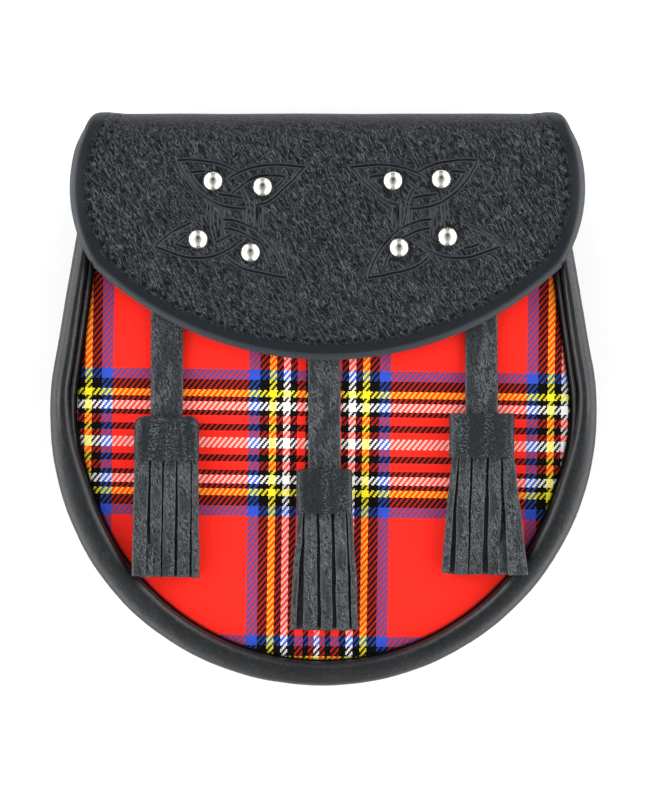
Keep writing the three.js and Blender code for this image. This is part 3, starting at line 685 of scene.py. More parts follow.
def piping():
    columns = 320
    sides = 14

    def place(column, row):
        station = outline_place(column / columns)
        angle = 2 * pi * row / sides
        low = low_share(station)
        base = FRONT_FLANGE + mix(FLANGE_BEND, GAP, low)
        height = PIPING_TOP + mix(PIPING_RISE, -PIPING_SINK, low) - base
        inward = ROLL_WIDTH + GAP - (SIDE_NARROWING + 0.5) * (1 - low)
        inward += (PIPING_WIDTH + PIPING_SHOW) / 2 * (1 + cos(angle))
        point = edge_point(station, TOP_Y - TARTAN_TOP_GAP, inward)
        rise = copysign(abs(sin(angle)) ** 0.6, sin(angle))
        soft = wavering(point.x, point.y, 0, 7, 0.15)
        return point.x, point.y, base + height / 2 * (1 + rise) + soft * (1 + rise)

    mesh = closed_up(sheet_mesh(columns, sides, place))
    return finished("piping_leather", mesh, SMOOTH, "smooth_leather", "front_piping")


# Flap


def side_half_width(s, show=0):
    climb = min(s, SHOULDER_START) - SIDE_CENTRE.y
    across = sqrt((FLAP_SIDE_RADIUS + show) ** 2 - climb ** 2)
    return SIDE_CENTRE.x + across - max(0, s - SHOULDER_START) * climb / across


def tab_half_width():
    return edge_point((1, 1, 1), GUSSET_TOP, ROLL_WIDTH).x - abs(FLAP_SHIFT) - FLAP_TAB_SIDE_GAP


def flap_half_width(s, show=0):
    if s <= TOP_START:
        return side_half_width(s, show)
    share = min(1, (s - TOP_START) / (TAB_START - TOP_START))
    return mix(side_half_width(TOP_START, show), tab_half_width() + show, share)


def corner_turn():
    """The angle at the tip arc's centre, from straight down, at which the tip arc meets the side arc."""
    between = SIDE_CENTRE - TIP_CENTRE
    squares = FLAP_TIP_RADIUS ** 2 + between.length_squared - FLAP_SIDE_RADIUS ** 2
    cosine = squares / (2 * FLAP_TIP_RADIUS * between.length)
    return atan2(between.x, -between.y) + acos(cosine)


CORNER_TURN = corner_turn()
CORNER = TIP_CENTRE + FLAP_TIP_RADIUS * Vector((sin(CORNER_TURN), -cos(CORNER_TURN)))
CORNER_ANGLE = atan2(CORNER.y - SIDE_CENTRE.y, CORNER.x - SIDE_CENTRE.x)
SHOULDER_ANGLE = asin((SHOULDER_START - SIDE_CENTRE.y) / FLAP_SIDE_RADIUS)
SHOULDER_SLANT = cos(SHOULDER_ANGLE)


def flap_profile(s):
    """Place and outward direction of the flap's outer face at a height of its pattern."""
    if s <= FRONT_BEND_START:
        return s, FLAP_FRONT, 0, 1
    if s <= TOP_START:
        angle = (s - FRONT_BEND_START) / FLAP_FRONT_BEND
        out_y, out_z = sin(angle), cos(angle)
        y = FRONT_BEND_START + FLAP_FRONT_BEND * out_y
        return y, FLAP_FRONT - FLAP_FRONT_BEND * (1 - out_z), out_y, out_z
    if s <= REAR_BEND_START:
        return TOP_Y, FLAP_FRONT - FLAP_FRONT_BEND - (s - TOP_START), 1, 0
    rear_centre = TOP_Y - FLAP_REAR_BEND
    if s <= TAB_START:
        angle = (s - REAR_BEND_START) / FLAP_REAR_BEND
        out_y, out_z = cos(angle), -sin(angle)
        z = FLAP_REAR + FLAP_REAR_BEND * (1 + out_z)
        return rear_centre + FLAP_REAR_BEND * out_y, z, out_y, out_z
    return rear_centre - (s - TAB_START), FLAP_REAR, 0, -1


def flap_bulge(x, s):
    along = smooth(s, FLAP_TIP, FLAP_TIP + FLAP_DROP / 2)
    over = 1 - smooth(s, FRONT_BEND_START, TOP_START)
    dome = FLAP_DOME * along * (1 - (x / FLAP_HALF) ** 2)
    past = max(0, abs(x) - (FLAP_HALF - FLAP_DROOP_WIDTH)) / FLAP_DROOP_WIDTH
    return (dome - FLAP_SIDE_DROOP * past ** 2) * over - FLAP_TIP_SINK * (1 - along)


def flap_point(x, s, depth):
    y, z, out_y, out_z = flap_profile(s)
    out = flap_bulge(x, s) - depth
    return Vector((x + FLAP_SHIFT, y + out_y * out, z + out_z * out))


def edge_distance(x, s, show=0):
    """How far a point of the flap's pattern lies inside its edge."""
    x = abs(x)
    if s > SHOULDER_START:
        return min(SHOULDER_SLANT * (flap_half_width(s, show) - x), TAB_END - s)
    tip = FLAP_TIP_RADIUS + show - hypot(x, s - TIP_CENTRE.y)
    from_side = Vector((x, s)) - SIDE_CENTRE
    if from_side.x < 0 or atan2(from_side.y, from_side.x) < CORNER_ANGLE:
        return tip
    return min(tip, FLAP_SIDE_RADIUS + show - from_side.length)


def marks(start, *stretches):
    """Places along a line: each stretch gives where it ends and about how far apart its marks are."""
    places = [start]
    for end, step in stretches:
        first = places[-1]
        count = max(1, round(abs(end - first) / step))
        places += [mix(first, end, i / count) for i in range(1, count + 1)]
    return places


def pattern_place(across, up, show=0):
    """A point of the flap's pattern: across is from -1 to 1, and up is the height at the middle."""
    if up > FRONT_BEND_START:
        return across * flap_half_width(up, show), up
    tip_radius = FLAP_TIP_RADIUS + show
    corner_x = tip_radius * sin(CORNER_TURN)
    tip = TIP_CENTRE.y - tip_radius
    low = TIP_CENTRE.y - sqrt(tip_radius ** 2 - (across * corner_x) ** 2)
    corner_low = TIP_CENTRE.y - tip_radius * cos(CORNER_TURN)
    share = (up - tip) / (FRONT_BEND_START - tip)
    side = mix(corner_low, FRONT_BEND_START, share)
    half = mix(corner_x, side_half_width(side, show), min(1, share * 20))
    return across * half, mix(low, FRONT_BEND_START, share)


# The knots that are pressed into the flap, as the lines of the left one in the flap's pattern. The right
# one is its mirror image.
KNOT_LINES = (
    # The top left leaf: its outline above and below, the same inside it, and its band
    ((-52.9, 84.5), (-48.4, 84.7), (-44.1, 84.3), (-39.8, 83.6), (-36.2, 82.5),
        (-33.7, 81.3), (-31.5, 80.1)),
    ((-52.9, 84.5), (-51.7, 81.7), (-50.0, 78.8), (-48.1, 76.1), (-45.5, 73.4),
        (-42.7, 71.3), (-39.8, 69.5), (-36.2, 68.2), (-31.9, 67.5), (-29.0, 67.4)),
    ((-48.6, 80.2), (-45.9, 80.5), (-43.4, 80.6)),
    ((-48.6, 80.2), (-47.3, 77.9), (-45.5, 75.6), (-43.4, 73.6)),
    ((-38.4, 72.5), (-35.5, 72.1), (-32.2, 71.6), (-29.9, 71.0)),
    # The top right leaf: its outline and the lines inside it
    ((-7.8, 82.0), (-12.5, 82.5), (-17.9, 82.9), (-22.2, 82.7), (-26.1, 82.0),
        (-29.4, 80.9), (-31.5, 80.1), (-33.5, 79.0), (-35.1, 77.7)),
    ((-7.8, 82.0), (-9.8, 80.4), (-11.6, 78.1), (-13.9, 75.9), (-16.4, 73.6),
        (-18.9, 71.3), (-21.8, 69.5), (-24.7, 68.7)),
    ((-14.8, 78.6), (-18.9, 79.1), (-23.3, 79.0), (-26.1, 78.2),
        (-29.0, 76.5), (-31.5, 74.5), (-33.7, 72.9)),
    ((-14.8, 78.6), (-16.4, 76.5), (-18.6, 74.7)),
    # The strands that tie the leaves together, on the right and on the left
    ((-30.3, 74.3), (-28.8, 71.4), (-27.9, 67.5), (-27.4, 63.9), (-26.7, 61.6)),
    ((-29.4, 67.1), (-29.2, 64.6), (-29.2, 62.5)),
    ((-25.4, 70.0), (-25.2, 66.0), (-25.4, 61.0)),
    ((-24.4, 68.6), (-24.4, 64.6), (-24.6, 59.9)),
    ((-23.5, 67.7), (-23.2, 64.6), (-23.4, 60.7)),
    ((-41.8, 69.1), (-42.1, 66.4), (-42.4, 63.9)),
    ((-40.7, 68.2), (-40.8, 64.6), (-40.6, 60.3), (-39.4, 55.6)),
    ((-37.9, 66.9), (-38.0, 64.3), (-38.2, 60.8)),
    ((-36.9, 66.9), (-37.0, 62.5), (-36.9, 57.8)),
    # The low left leaf: its outline, the lines inside it and its band
    ((-61.0, 54.0), (-58.8, 56.0), (-56.3, 58.1), (-53.5, 59.9), (-50.6, 61.2),
        (-48.1, 62.5)),
    ((-61.0, 54.0), (-57.4, 52.7), (-53.5, 51.3), (-50.2, 50.3), (-46.6, 50.0),
        (-43.0, 50.1), (-39.8, 50.8), (-36.6, 52.2), (-34.0, 53.6), (-31.9, 55.1), (-30.0, 56.4)),
    ((-53.6, 55.0), (-52.0, 56.3), (-49.9, 58.0)),
    ((-53.6, 55.0), (-50.9, 54.0), (-48.4, 53.5)),
    ((-39.4, 55.6), (-37.6, 56.3), (-35.5, 57.4), (-33.7, 58.3)),
    # The low right leaf: its outline and the line inside it
    ((-36.4, 63.6), (-33.0, 63.2), (-29.4, 62.0), (-26.5, 60.7), (-24.0, 58.9),
        (-21.5, 56.3), (-19.1, 53.5), (-17.1, 50.2), (-15.7, 47.0), (-14.5, 43.0)),
    ((-14.5, 43.0), (-18.9, 43.7), (-23.3, 44.7), (-26.9, 45.4), (-30.4, 46.6),
        (-33.3, 48.3), (-35.8, 50.4)),
    ((-36.0, 60.5), (-33.0, 59.9), (-29.7, 58.7), (-26.9, 57.1),
        (-24.2, 55.6), (-22.5, 53.1), (-21.3, 50.4), (-20.2, 47.7)),
)


def curve_through(points, step):
    """Points about a step apart on a smooth curve through some points."""
    ends = [2 * Vector(points[0]) - Vector(points[1])] + [Vector(p) for p in points]
    ends.append(2 * ends[-1] - ends[-2])
    found = [ends[1]]
    for before, start, end, after in zip(ends, ends[1:], ends[2:], ends[3:]):
        count = max(1, round((end - start).length / step))
        for i in range(1, count + 1):
            t = i / count
            found.append(0.5 * (
                2 * start + (end - before) * t
                + (2 * before - 5 * start + 4 * end - after) * t ** 2
                + (3 * start - before - 3 * end + after) * t ** 3
            ))
    return found


def nearest_in(points):
    """A function that gives the distance from a place of the pattern to the nearest of some points."""
    tree = kdtree.KDTree(len(points))
    for i, point in enumerate(points):
        tree.insert((point[0], point[1], 0), i)
    tree.balance()
    return lambda x, s: tree.find((x, s, 0))[2]


def stitch_line():
    """The outer row of stitches, all round the flap, from one end of its top to the other."""
    arcs = ((TIP_CENTRE, FLAP_TIP_RADIUS, -pi / 2, CORNER_TURN - pi / 2),
            (SIDE_CENTRE, FLAP_SIDE_RADIUS, CORNER_ANGLE, SHOULDER_ANGLE))
    shares = [i / 300 for i in range(300)]
    right = []
    for centre, radius, start, end in arcs:
        for share in shares:
            angle = mix(start, end, share)
            right.append(centre + (radius - STITCH_INSET) * Vector((cos(angle), sin(angle))))
    for share in shares:
        s = mix(SHOULDER_START, TOP_START + SEAM_OVER_TOP, share)
        right.append(Vector((flap_half_width(s) - STITCH_INSET / SHOULDER_SLANT, s)))
    right = [point for point in right if edge_distance(*point) > STITCH_INSET - 0.1]
    return mirrored(reversed(right))[:-1] + right


def mirrored(points):
    return [Vector((-x, y)) for x, y in points]


def walked(line, pitch):
    """The middles and directions of stitches that follow a line at a pitch."""
    found = []
    left = pitch / 2
    for start, end in zip(line, line[1:]):
        length = (end - start).length
        if length == 0:
            continue
        while left <= length:
            found.append((start.lerp(end, left / length), (end - start) / length))
            left += pitch
        left -= length
    return found


# The short inner row of stitches at each top corner, left of the flap's middle
INNER_SEAM = ((-78.1, 88.7), (-77.0, 93.2), (-75.3, 97.3), (-74.1, 101.6), (-73.0, 106))


def flap_seams():
    left = curve_through(INNER_SEAM, 0.3)
    return [stitch_line(), left, mirrored(left)]


# Each stud's place on the flap, across it as a share of its half width and down it as a share of its drop
STUD_PLACES = (
    (-0.446, 0.281), (-0.253, 0.304), (-0.504, 0.518), (-0.3, 0.571),
    (0.255, 0.28), (0.443, 0.273), (0.279, 0.552), (0.468, 0.508),
)


def stud_point(place):
    across, down = place
    return across * FLAP_HALF, TOP_Y - down * FLAP_DROP


# How far inside the flap's edge the first lines of its mesh run
EDGE_MARKS = (0, 0.08, 0.25, 0.5, 0.85, 1.3, 1.8, 2.4, 3.1, 3.8, 4.5, 5.1, 5.7, 6.3, 7, 8)


def flap_columns(knot_step, plain_step):
    near, far = KNOT_SIDES
    inner = marks(-FLAP_HALF + EDGE_MARKS[-1], (-far, plain_step), (-near, knot_step), (0, plain_step))
    left = [-FLAP_HALF + mark for mark in EDGE_MARKS[:-1]] + inner
    return [x / FLAP_HALF for x in left] + [-x / FLAP_HALF for x in reversed(left[:-1])]


def flap_rows(knot_step, plain_step):
    start = [FLAP_TIP + mark for mark in EDGE_MARKS]
    low, high = KNOT_HEIGHTS
    end = TAB_END - EDGE_MARKS[-1]
    middle = marks(start[-1], (low, plain_step), (high, knot_step), (end, plain_step))
    return start + middle[1:] + [TAB_END - mark for mark in reversed(EDGE_MARKS[:-1])]


def flap_solid(face_marks, back_marks, outer, thickness, show, relief, rim_width):
    """A leather sheet of the flap with a rounded edge, its face pressed in by relief(x, s). Its face and
    back have their own columns and rows, and are joined along the edge."""
    half = thickness / 2

    def edge_drop(x, s):
        share = min(1, max(0, edge_distance(x, s, show)) / rim_width)
        return half * (1 - sqrt(max(0, 1 - (1 - share) ** 2)))

    joined = bmesh.new()
    for face, (columns, rows) in enumerate((back_marks, face_marks)):

        def place(column, row):
            x, s = pattern_place(columns[column], rows[row] - (show if row == 0 else 0), show)
            drop = edge_drop(x, s)
            depth = drop + relief(x, s) - 0.01 if face else thickness - drop + 0.01
            return flap_point(x, s, outer + depth)

        add_part(joined, sheet_mesh(len(columns) - 1, len(rows) - 1, place))
    bmesh.ops.bridge_loops(joined, edges=[edge for edge in joined.edges if edge.is_boundary])
    bmesh.ops.recalc_face_normals(joined, faces=joined.faces)
    return joined


def add_part(whole, part):
    """Adds one bmesh to another."""
    data = bpy.data.meshes.new("part")
    part.to_mesh(data)
    part.free()
    whole.from_mesh(data)
    bpy.data.meshes.remove(data)


def pattern_of(corner):
    """The flap's pattern under a point near its face."""
    x, y, z = corner.x - FLAP_SHIFT, corner.y, corner.z
    if y <= FRONT_BEND_START and z > FLAP_FRONT / 2:
        return x, y
    if z > FLAP_FRONT - FLAP_FRONT_BEND:
        angle = atan2(y - FRONT_BEND_START, z - FLAP_FRONT + FLAP_FRONT_BEND)
        return x, FRONT_BEND_START + angle * FLAP_FRONT_BEND
    if z > FLAP_REAR + FLAP_REAR_BEND:
        return x, TOP_START + FLAP_FRONT - FLAP_FRONT_BEND - z
    return x, TAB_START


def flap_leather():
    knot_points = []
    for line in KNOT_LINES:
        curve = curve_through(line, 0.12)
        knot_points += curve + mirrored(curve)
    knot_distance = nearest_in(knot_points)
    seams = flap_seams()
    holes = [middle for line in seams for middle, along in walked(line, STITCH_PITCH)]
    presses = (
        (knot_distance, KNOT_PRESS),
        (nearest_in([point for line in seams for point in line]), SEAM_PRESS),
        (nearest_in(holes), HOLE_PRESS),
        (nearest_in([stud_point(place) for place in STUD_PLACES]), STUD_PRESS),
    )

    def relief(x, s):
        pressed = 0
        for distance, (depth, low, high) in presses:
            pressed += depth * (1 - smooth(distance(x, s), low, high))
        over_top = smooth(s, *SWELL_RISE) * (1 - smooth(s - TOP_START, *SWELL_FADE))
        sunk = over_top * (TOP_SINK * (1 - smooth(abs(x), *SINK_SIDES)) - TOP_SWELL)
        return pressed + sunk + wavering(x, s, 0, 22, 0.18)

    face_marks = flap_columns(KNOT_STEP, PLAIN_STEP + 0.1), flap_rows(KNOT_STEP, PLAIN_STEP)
    back_marks = flap_columns(3, 3), flap_rows(3, 3)
    mesh = flap_solid(face_marks, back_marks, 0, FLAP_LEATHER, 0, relief, 2)
    knot_layer = mesh.verts.layers.float.new("knot_mm")
    edge_layer = mesh.verts.layers.float.new("edge_mm")
    for corner in mesh.verts:
        x, s = pattern_of(corner.co)
        corner[knot_layer] = min(5, knot_distance(x, s))
        corner[edge_layer] = min(12, max(0, edge_distance(x, s)))
    return finished("flap_leather", mesh, GRAINED, "grain_leather", "flap_outer")


def flap_lining():
    across = marks(-FLAP_HALF, (-FLAP_HALF + 3, 0.5), (FLAP_HALF - 3, 4), (FLAP_HALF, 0.5))
    columns = [x / FLAP_HALF for x in across]
    rows = marks(FLAP_TIP, (FLAP_TIP + 3, 0.5), (TAB_END - 3, 3), (TAB_END, 0.5))
    both = (columns, rows)
    mesh = flap_solid(both, both, FLAP_LEATHER + GAP, LINING_LEATHER, LINING_SHOW, lambda x, s: 0, 0.6)
    return finished("lining_leather", mesh, LINING, "lining", "flap_lining")


def thread_mesh(stitches, length, thickness):
    """Short plump threads, each from its middle, the direction along it and that out of the leather."""
    mesh = bmesh.new()
    for middle, along, out in stitches:
        across = out.cross(along).normalized()
        turn = Matrix((along.normalized(), across, out)).transposed().to_4x4()
        size = Matrix.Diagonal((length / 2, thickness / 2, thickness / 2, 1))
        bmesh.ops.create_uvsphere(mesh, u_segments=8, v_segments=6, radius=1,
                                  matrix=Matrix.Translation(middle) @ turn @ size)
    return mesh


def flap_stitches():
    stitches = []
    for line in flap_seams():
        for middle, along in walked(line, STITCH_PITCH):
            here = flap_point(*middle, STITCH_DEPTH)
            ahead = flap_point(*(middle + along / 2), STITCH_DEPTH)
            out = flap_point(*middle, -1) - here
            stitches.append((here, ahead - here, out.normalized()))
    return finished("flap_stitches", thread_mesh(stitches, *FLAP_THREAD), THREAD, "grain_leather")


def turned(profile, middle, segments):
    """A bmesh turned from a profile of distances from its axis and heights, with its axis at a place."""
    mesh = bmesh.new()
    corners = [mesh.verts.new((distance, 0, z)) for distance, z in profile]
    for first, second in zip(corners, corners[1:]):
        mesh.edges.new((first, second))
    bmesh.ops.spin(mesh, geom=mesh.verts[:] + mesh.edges[:], cent=(0, 0, 0), axis=(0, 0, 1),
                   angle=2 * pi, steps=segments, use_merge=True)
    bmesh.ops.translate(mesh, vec=middle, verts=mesh.verts)
    return closed_up(mesh)


def stud(number, place):
    """A dome on a low rim, whose foot sinks a little way into the leather."""
    x, s = stud_point(place)
    radius = STUD_DIAMETER / 2
    rim = STUD_RIM_SHARE * radius
    rise = STUD_HEIGHT - STUD_RIM_HEIGHT
    ball = (rim ** 2 + rise ** 2) / (2 * rise)
    profile = [(0, -0.4), (radius * 0.8, -0.4), (radius, 0.05), (radius, 0.6), (radius * 0.985, 0.9)]
    steps = 12
    for i in range(steps + 1):
        angle = asin(rim / ball) * (1 - i / steps)
        profile.append((ball * sin(angle), STUD_HEIGHT - ball * (1 - cos(angle))))
    mesh = turned(profile, flap_point(x, s, 0) + Vector((0, 0, STUD_LIFT)), 40)
    return finished(f"stud_{number}_dome", mesh, NICKEL, "nickel", f"stud_{number}")


def snap():
    low, high = [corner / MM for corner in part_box("flap_snap")]
    middle, radius = (low + high) / 2, (high.x - low.x) / 2
    cap = radius * 0.75
    profile = ((0, low.z), (radius, low.z), (radius, middle.z - 0.2), (radius - 0.3, middle.z),
               (cap, middle.z), (cap, high.z - 0.2), (radius * 0.72, high.z), (0, high.z))
    mesh = turned(profile, (middle.x, middle.y, 0), 32)
    return finished("snap_fastener", mesh, NICKEL, "nickel", "flap_snap")


# Bands, such as straps, loops and strips


def band_mesh(stations, sides=20, crown=0.15):
    """A closed band through stations, each with its left and right edge, its underside's height, its
    thickness and y. Its section is a flat oblong with rounded edges and a crowned face."""

    def place(column, row):
        left, right, y, z, thickness = stations[row]
        angle = 2 * pi * (column % sides) / sides
        half = (right - left) / 2
        c, s = cos(angle), sin(angle)
        x = copysign(abs(c) ** 0.25, c) * half
        lift = copysign(abs(s) ** 0.4, s) * thickness / 2
        crowned = crown * (1 - (x / half) ** 2) if s > 0 else 0
        return mix(left, right, 0.5) + x, y, z + thickness / 2 + lift + crowned

    return closed_up(sheet_mesh(sides, len(stations) - 1, place))


class Tassel:
    """The sizes and places of one tassel."""

    def __init__(self, name, across, down, shoulder, corner, strips):
        self.name = name
        self.x = across * BODY_WIDTH / 2
        self.top = TOP_Y - down * BODY_HEIGHT
        self.width = STRAP_WIDTH + 2 * CAP_SHOULDER * shoulder
        self.middle = tartan_height(self.x, self.top - CAP_HEIGHT / 2) + GAP + CAP_THICKNESS / 2
        self.corner = corner
        self.strips = strips
        self.cap_end = self.top - CAP_HEIGHT
        self.tip_y = self.cap_end - FRINGE_LENGTH


# Each tassel's front strips: their left and right edges below the cap and at their tips, from the tassel's
# middle, and how much shorter each is than the longest
TASSELS = (
    Tassel("tassel_left", -0.572, 0.529, 1, 3.4, (
        (-11.3, -6.1, -12.3, -7.6, 0.8),
        (-5.4, -1.5, -6.4, -2.4, 0.5),
        (-0.8, 3.4, -1.7, 2.6, 0.3),
        (3.9, 8.6, 3.8, 8.1, 0.2),
        (9.0, 11.1, 8.9, 11.5, 0),
    )),
    Tassel("tassel_centre", 0.003, 0.621, 0.72, 1.6, (
        (-9.4, -7.4, -12.2, -10.2, 0.4),
        (-6.9, -2.8, -7.6, -2.5, 0.2),
        (-1.8, 2.4, -1.1, 2.9, 0),
        (3.5, 7.6, 4.4, 8.9, 0.1),
        (8.1, 9.8, 10.0, 12.1, 0.5),
    )),
    Tassel("tassel_right", 0.577, 0.524, 1, 0.8, (
        (-10.4, -8.3, -14.3, -11.6, 0.7),
        (-7.9, -3.9, -9.5, -4.9, 0.1),
        (-3.1, 1.7, -4.3, 0.3, 0.2),
        (2.6, 6.8, 2.2, 6.8, 0),
        (7.4, 11.4, 9.3, 16.3, 0.1),
    )),
)


def tassel_strap(tassel):
    edge = FLAP_TIP + FLAP_TIP_RADIUS - sqrt(FLAP_TIP_RADIUS ** 2 - (tassel.x - FLAP_SHIFT) ** 2)
    start, end = edge + STRAP_TUCK, tassel.top - STRAP_IN_CAP
    level = tassel.middle - STRAP_LEATHER / 2
    rise = 3 * CAP_THICKNESS
    stations = []
    steps = 60
    for i in range(steps + 1):
        y = mix(start, end, i / steps)
        lift = 1 - smooth(y, tassel.top, tassel.top + rise)
        z = mix(tartan_height(0.9 * tassel.x, y) + GAP, level, lift)
        half = STRAP_WIDTH / 2 + wavering(tassel.x, y, 0, 9, 0.12)
        stations.append((tassel.x - half, tassel.x + half, y, z, STRAP_LEATHER))
    mesh = band_mesh(stations, 28, 0.12)
    return finished(f"{tassel.name}_strap_leather", mesh, STRAP, "grain_leather", f"{tassel.name}_strap")


def tassel_cap(tassel):
    """A band of leather wrapped round the strips, with its top turned in around the strap."""
    around = 96
    round_steps = 8
    bottom, top = tassel.cap_end, tassel.top
    rows = [(bottom + 3, 0, CAP_WALL), (bottom + 0.3, 0, CAP_WALL), (bottom, 0, CAP_WALL * 0.6),
            (bottom, 0, CAP_WALL * 0.3), (bottom + 0.3, 0, 0)]
    rows += [(y, 0, 0) for y in marks(bottom + 0.8, (top - tassel.corner, 0.8))]
    for i in range(1, round_steps + 1):
        angle = pi / 2 * i / round_steps
        y = top - tassel.corner * (1 - sin(angle))
        side = tassel.corner * (1 - cos(angle))
        rows.append((y, side - min(side, 1.2), min(side, 1.2)))
    half, deep = tassel.width / 2, CAP_THICKNESS / 2
    strap_room = deep - STRAP_LEATHER / 2 - 0.3
    rows += [(top - 0.1, rows[-1][1], mix(1.2, strap_room, i / 4)) for i in range(1, 5)]
    rows.append((top - 2, rows[-1][1], strap_room))

    def place(column, row):
        y, side, inset = rows[row]
        angle = 2 * pi * (column % around) / around
        c, s = cos(angle), sin(angle)
        x = copysign(abs(c) ** 0.45, c) * (half - side - inset)
        z = copysign(abs(s) ** 0.45, s) * (deep - inset)
        fold = 0.22 * sin(x * 0.62 + tassel.x) + wavering(x, y, tassel.x, 5, 0.25)
        return tassel.x + x, y, tassel.middle + z + (fold * (1 - inset / deep) if s > 0 else 0)

    mesh = sheet_mesh(around, len(rows) - 1, place)
    bmesh.ops.remove_doubles(mesh, verts=mesh.verts, dist=0.002)
    bmesh.ops.recalc_face_normals(mesh, faces=mesh.faces)
    return finished(f"{tassel.name}_cap_leather", mesh, WRAPPED, "grain_leather", f"{tassel.name}_cap")


def fringe_strip(tassel, strip, head_z, over, thickness, number):
    top_left, top_right, tip_left, tip_right, shorter = strip
    steps = 40
    tip_middle = tassel.x + (tip_left + tip_right) / 2
    tip_outer = tassel.x + (tip_right if tip_middle > 0 else tip_left)
    tip_z = max(rest_height(tip_middle, tassel.tip_y), rest_height(tip_outer, tassel.tip_y)) + GAP
    half_y = tassel.cap_end - FRINGE_LENGTH / 2
    half_z = tartan_height(0.9 * tassel.x, half_y) + 2 * GAP
    stations = []
    for i in range(steps + 1):
        y = mix(tassel.cap_end + CAP_HEIGHT / 3, tassel.tip_y + shorter, i / steps)
        down = max(0, tassel.cap_end - y) / FRINGE_LENGTH
        if down < 0.5:
            z = mix(head_z, half_z + over, smooth(down, 0, 0.5))
        else:
            z = mix(half_z, tip_z, smooth(down, 0.5, 1)) + over
        left = mix(top_left, tip_left, down ** 0.9) - STRIP_SPREAD
        right = mix(top_right, tip_right, down ** 0.9) + STRIP_SPREAD
        sway = wavering(number * 7, y, tassel.x, 11, 0.35) * smooth(down, 0, 0.3)
        z += wavering(number * 5, y, tassel.x + 40, 9, 0.3) * smooth(down, 0, 0.3)
        stations.append((tassel.x + left + sway, tassel.x + right + sway, y, z, thickness))
    return band_mesh(stations, 20, 0.25)


def tassel_fringe(tassel):
    layer = (CAP_THICKNESS - 2 * (CAP_WALL + GAP)) / 2
    joined = bmesh.new()
    strips = [(strip, tassel.middle - GAP / 2, layer) for strip in tassel.strips]
    for near, far in zip(tassel.strips, tassel.strips[1:]):
        behind = [(a + b) / 2 for a, b in zip(near[:4], far[:4])] + [0.3]
        strips.append((behind, tassel.middle - layer + GAP / 2, 0))
    for number, (strip, head_z, over) in enumerate(strips):
        add_part(joined, fringe_strip(tassel, strip, head_z, over, layer * 0.9, number))
    return finished(f"{tassel.name}_fringe_strips", joined, STRAP, "grain_leather", f"{tassel.name}_fringe")


# Back loops


def back_loop(name, side):
    top = TOP_Y - FLAP_REAR_BEND - FLAP_TAB_HEIGHT - LOOP_BELOW_TAB
    middle_x, middle_y = side * LOOP_SPACING / 2, top - LOOP_HEIGHT / 2
    seated, bridge = REAR_FACE - GAP, REAR_FACE - LOOP_TUNNEL
    stations = []
    steps = 60
    for i in range(steps + 1):
        y = mix(LOOP_HEIGHT / 2, -LOOP_HEIGHT / 2, i / steps)
        share = smooth(LOOP_HEIGHT / 2 - abs(y), LOOP_SEAM - 0.5, LOOP_SEAM + LOOP_BEND + 0.5)
        z = mix(seated, bridge, share) - LOOP_LEATHER
        half = LOOP_WIDTH / 2
        stations.append((middle_x - half, middle_x + half, middle_y + y, z, LOOP_LEATHER))
    mesh = band_mesh(stations, 28, 0)
    return finished(f"{name}_leather", mesh, SMOOTH, "smooth_leather", name)


def back_stitches():
    """Boxes of stitches that sew down both ends of each loop, and the row along the flap's tab."""
    stitches = []
    down = Vector((0, 0, -1))
    top = TOP_Y - FLAP_REAR_BEND - FLAP_TAB_HEIGHT - LOOP_BELOW_TAB
    loop_z = REAR_FACE - GAP - LOOP_LEATHER
    for side in (-1, 1):
        for end in (top - LOOP_SEAM / 2, top - LOOP_HEIGHT + LOOP_SEAM / 2):
            half = LOOP_WIDTH / 2 - 2.5
            x = side * LOOP_SPACING / 2
            tall = LOOP_SEAM / 2 - 1.8
            turns = (-1, -1), (1, -1), (1, 1), (-1, 1), (-1, -1)
            box = [Vector((x + a * half, end + b * tall)) for a, b in turns]
            for middle, along in walked(box, BACK_STITCH_PITCH):
                stitches.append((Vector((*middle, loop_z)), Vector((*along, 0)), down))
    tab = TOP_Y - FLAP_REAR_BEND - FLAP_TAB_HEIGHT + 3
    half = tab_half_width() - 4
    row = [Vector((FLAP_SHIFT - half, tab)), Vector((FLAP_SHIFT + half, tab))]
    for middle, along in walked(row, BACK_STITCH_PITCH):
        stitches.append((Vector((*middle, FLAP_REAR)), Vector((*along, 0)), down))
    return finished("back_stitches", thread_mesh(stitches, *BACK_THREAD), THREAD, "smooth_leather")


gusset()
tartan_front()
back_board()
piping()
flap_leather()
flap_lining()
flap_stitches()
for number, stud_place in enumerate(STUD_PLACES, 1):
    stud(number, stud_place)
snap()
for tassel in TASSELS:
    tassel_strap(tassel)
    tassel_cap(tassel)
    tassel_fringe(tassel)
back_loop("back_loop_left", -1)
back_loop("back_loop_right", 1)
back_stitches()


# Floor, light and camera


def floor():
    mesh = bmesh.new()
    bmesh.ops.create_grid(mesh, x_segments=1, y_segments=1, size=FLOOR_WIDTH / 2)
    data = bpy.data.meshes.new("floor")
    mesh.to_mesh(data)
    mesh.free()
    data.materials.append(PAPER)
    made = bpy.data.objects.new("floor", data)
    bpy.context.scene.collection.objects.link(made)


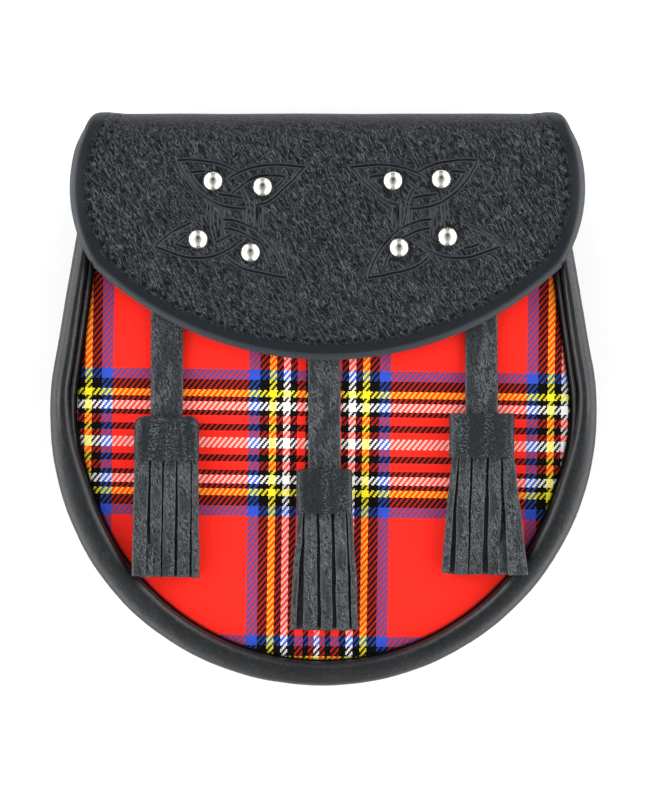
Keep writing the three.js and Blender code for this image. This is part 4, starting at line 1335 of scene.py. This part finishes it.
def white_tent():
    """A white tent with a bright cloth low on its left and right, dimmer ends, and a dark slot overhead
    where the camera looks in."""
    world = bpy.data.worlds.new("white_tent")
    bpy.context.scene.world = world
    world.use_nodes = True
    tree = world.node_tree
    tree.nodes.clear()
    direction = add(tree, "TexCoord", output="Generated")
    x, y, z = add(tree, "SeparateXYZ", direction).node.outputs
    aside = add(tree, "Math", x, operation="ABSOLUTE")
    ends = add(tree, "MapRange", z, 0.2, 0.45, 0.3, 0.75, **EASED)
    cloths = add(tree, "MapRange", z, 0.35, 0.65, 6, 2.4, **EASED)
    sides = add(tree, "MapRange", aside, 0.22, 0.62, **EASED)
    around = add(tree, "Mix", {0: sides, 2: ends, 3: cloths})
    overhead = 0.6
    low = add(tree, "MapRange", z, 0.9, 0.6, **EASED)
    strength = add(tree, "Mix", {0: low, 2: overhead, 3: around})
    slot = add(tree, "MapRange", aside, 0.07, 0.14, 1, 0, **EASED)
    near = add(tree, "MapRange", y, -0.52, -0.42, **EASED)
    far = add(tree, "MapRange", y, 0.25, 0.1, **EASED)
    upper = add(tree, "Math", z, 0, operation="GREATER_THAN")
    for bound in (near, far, upper):
        slot = add(tree, "Math", slot, bound, **TIMES)
    towards = add(tree, "VectorMath", direction, (0, 0.3, 0.954), operation="DOT_PRODUCT", output="Value")
    lens = add(tree, "MapRange", towards, 0.925, 0.96, **EASED)
    dark = add(tree, "Math", slot, lens, operation="MAXIMUM")
    strength = add(tree, "Math", strength, add(tree, "Math", dark, -0.85, 1, **TIMES_PLUS), **TIMES)
    add(tree, "OutputWorld", add(tree, "Background", linear("#FFFFFF"), strength))


def photo_camera():
    height_px = 800
    mm_per_px = 0.354
    distance = 1600
    sensor = 36
    aside = -0.18
    lens = bpy.data.cameras.new("camera")
    lens.sensor_width = sensor
    lens.lens = sensor * distance / (height_px * mm_per_px)
    lens.clip_end = 10
    made = bpy.data.objects.new("camera", lens)
    made.location = Vector((aside, aside, BODY_DEPTH + distance)) * MM
    bpy.context.scene.collection.objects.link(made)
    bpy.context.scene.camera = made


floor()
white_tent()
photo_camera()
bpy.context.scene.view_settings.view_transform = "Standard"
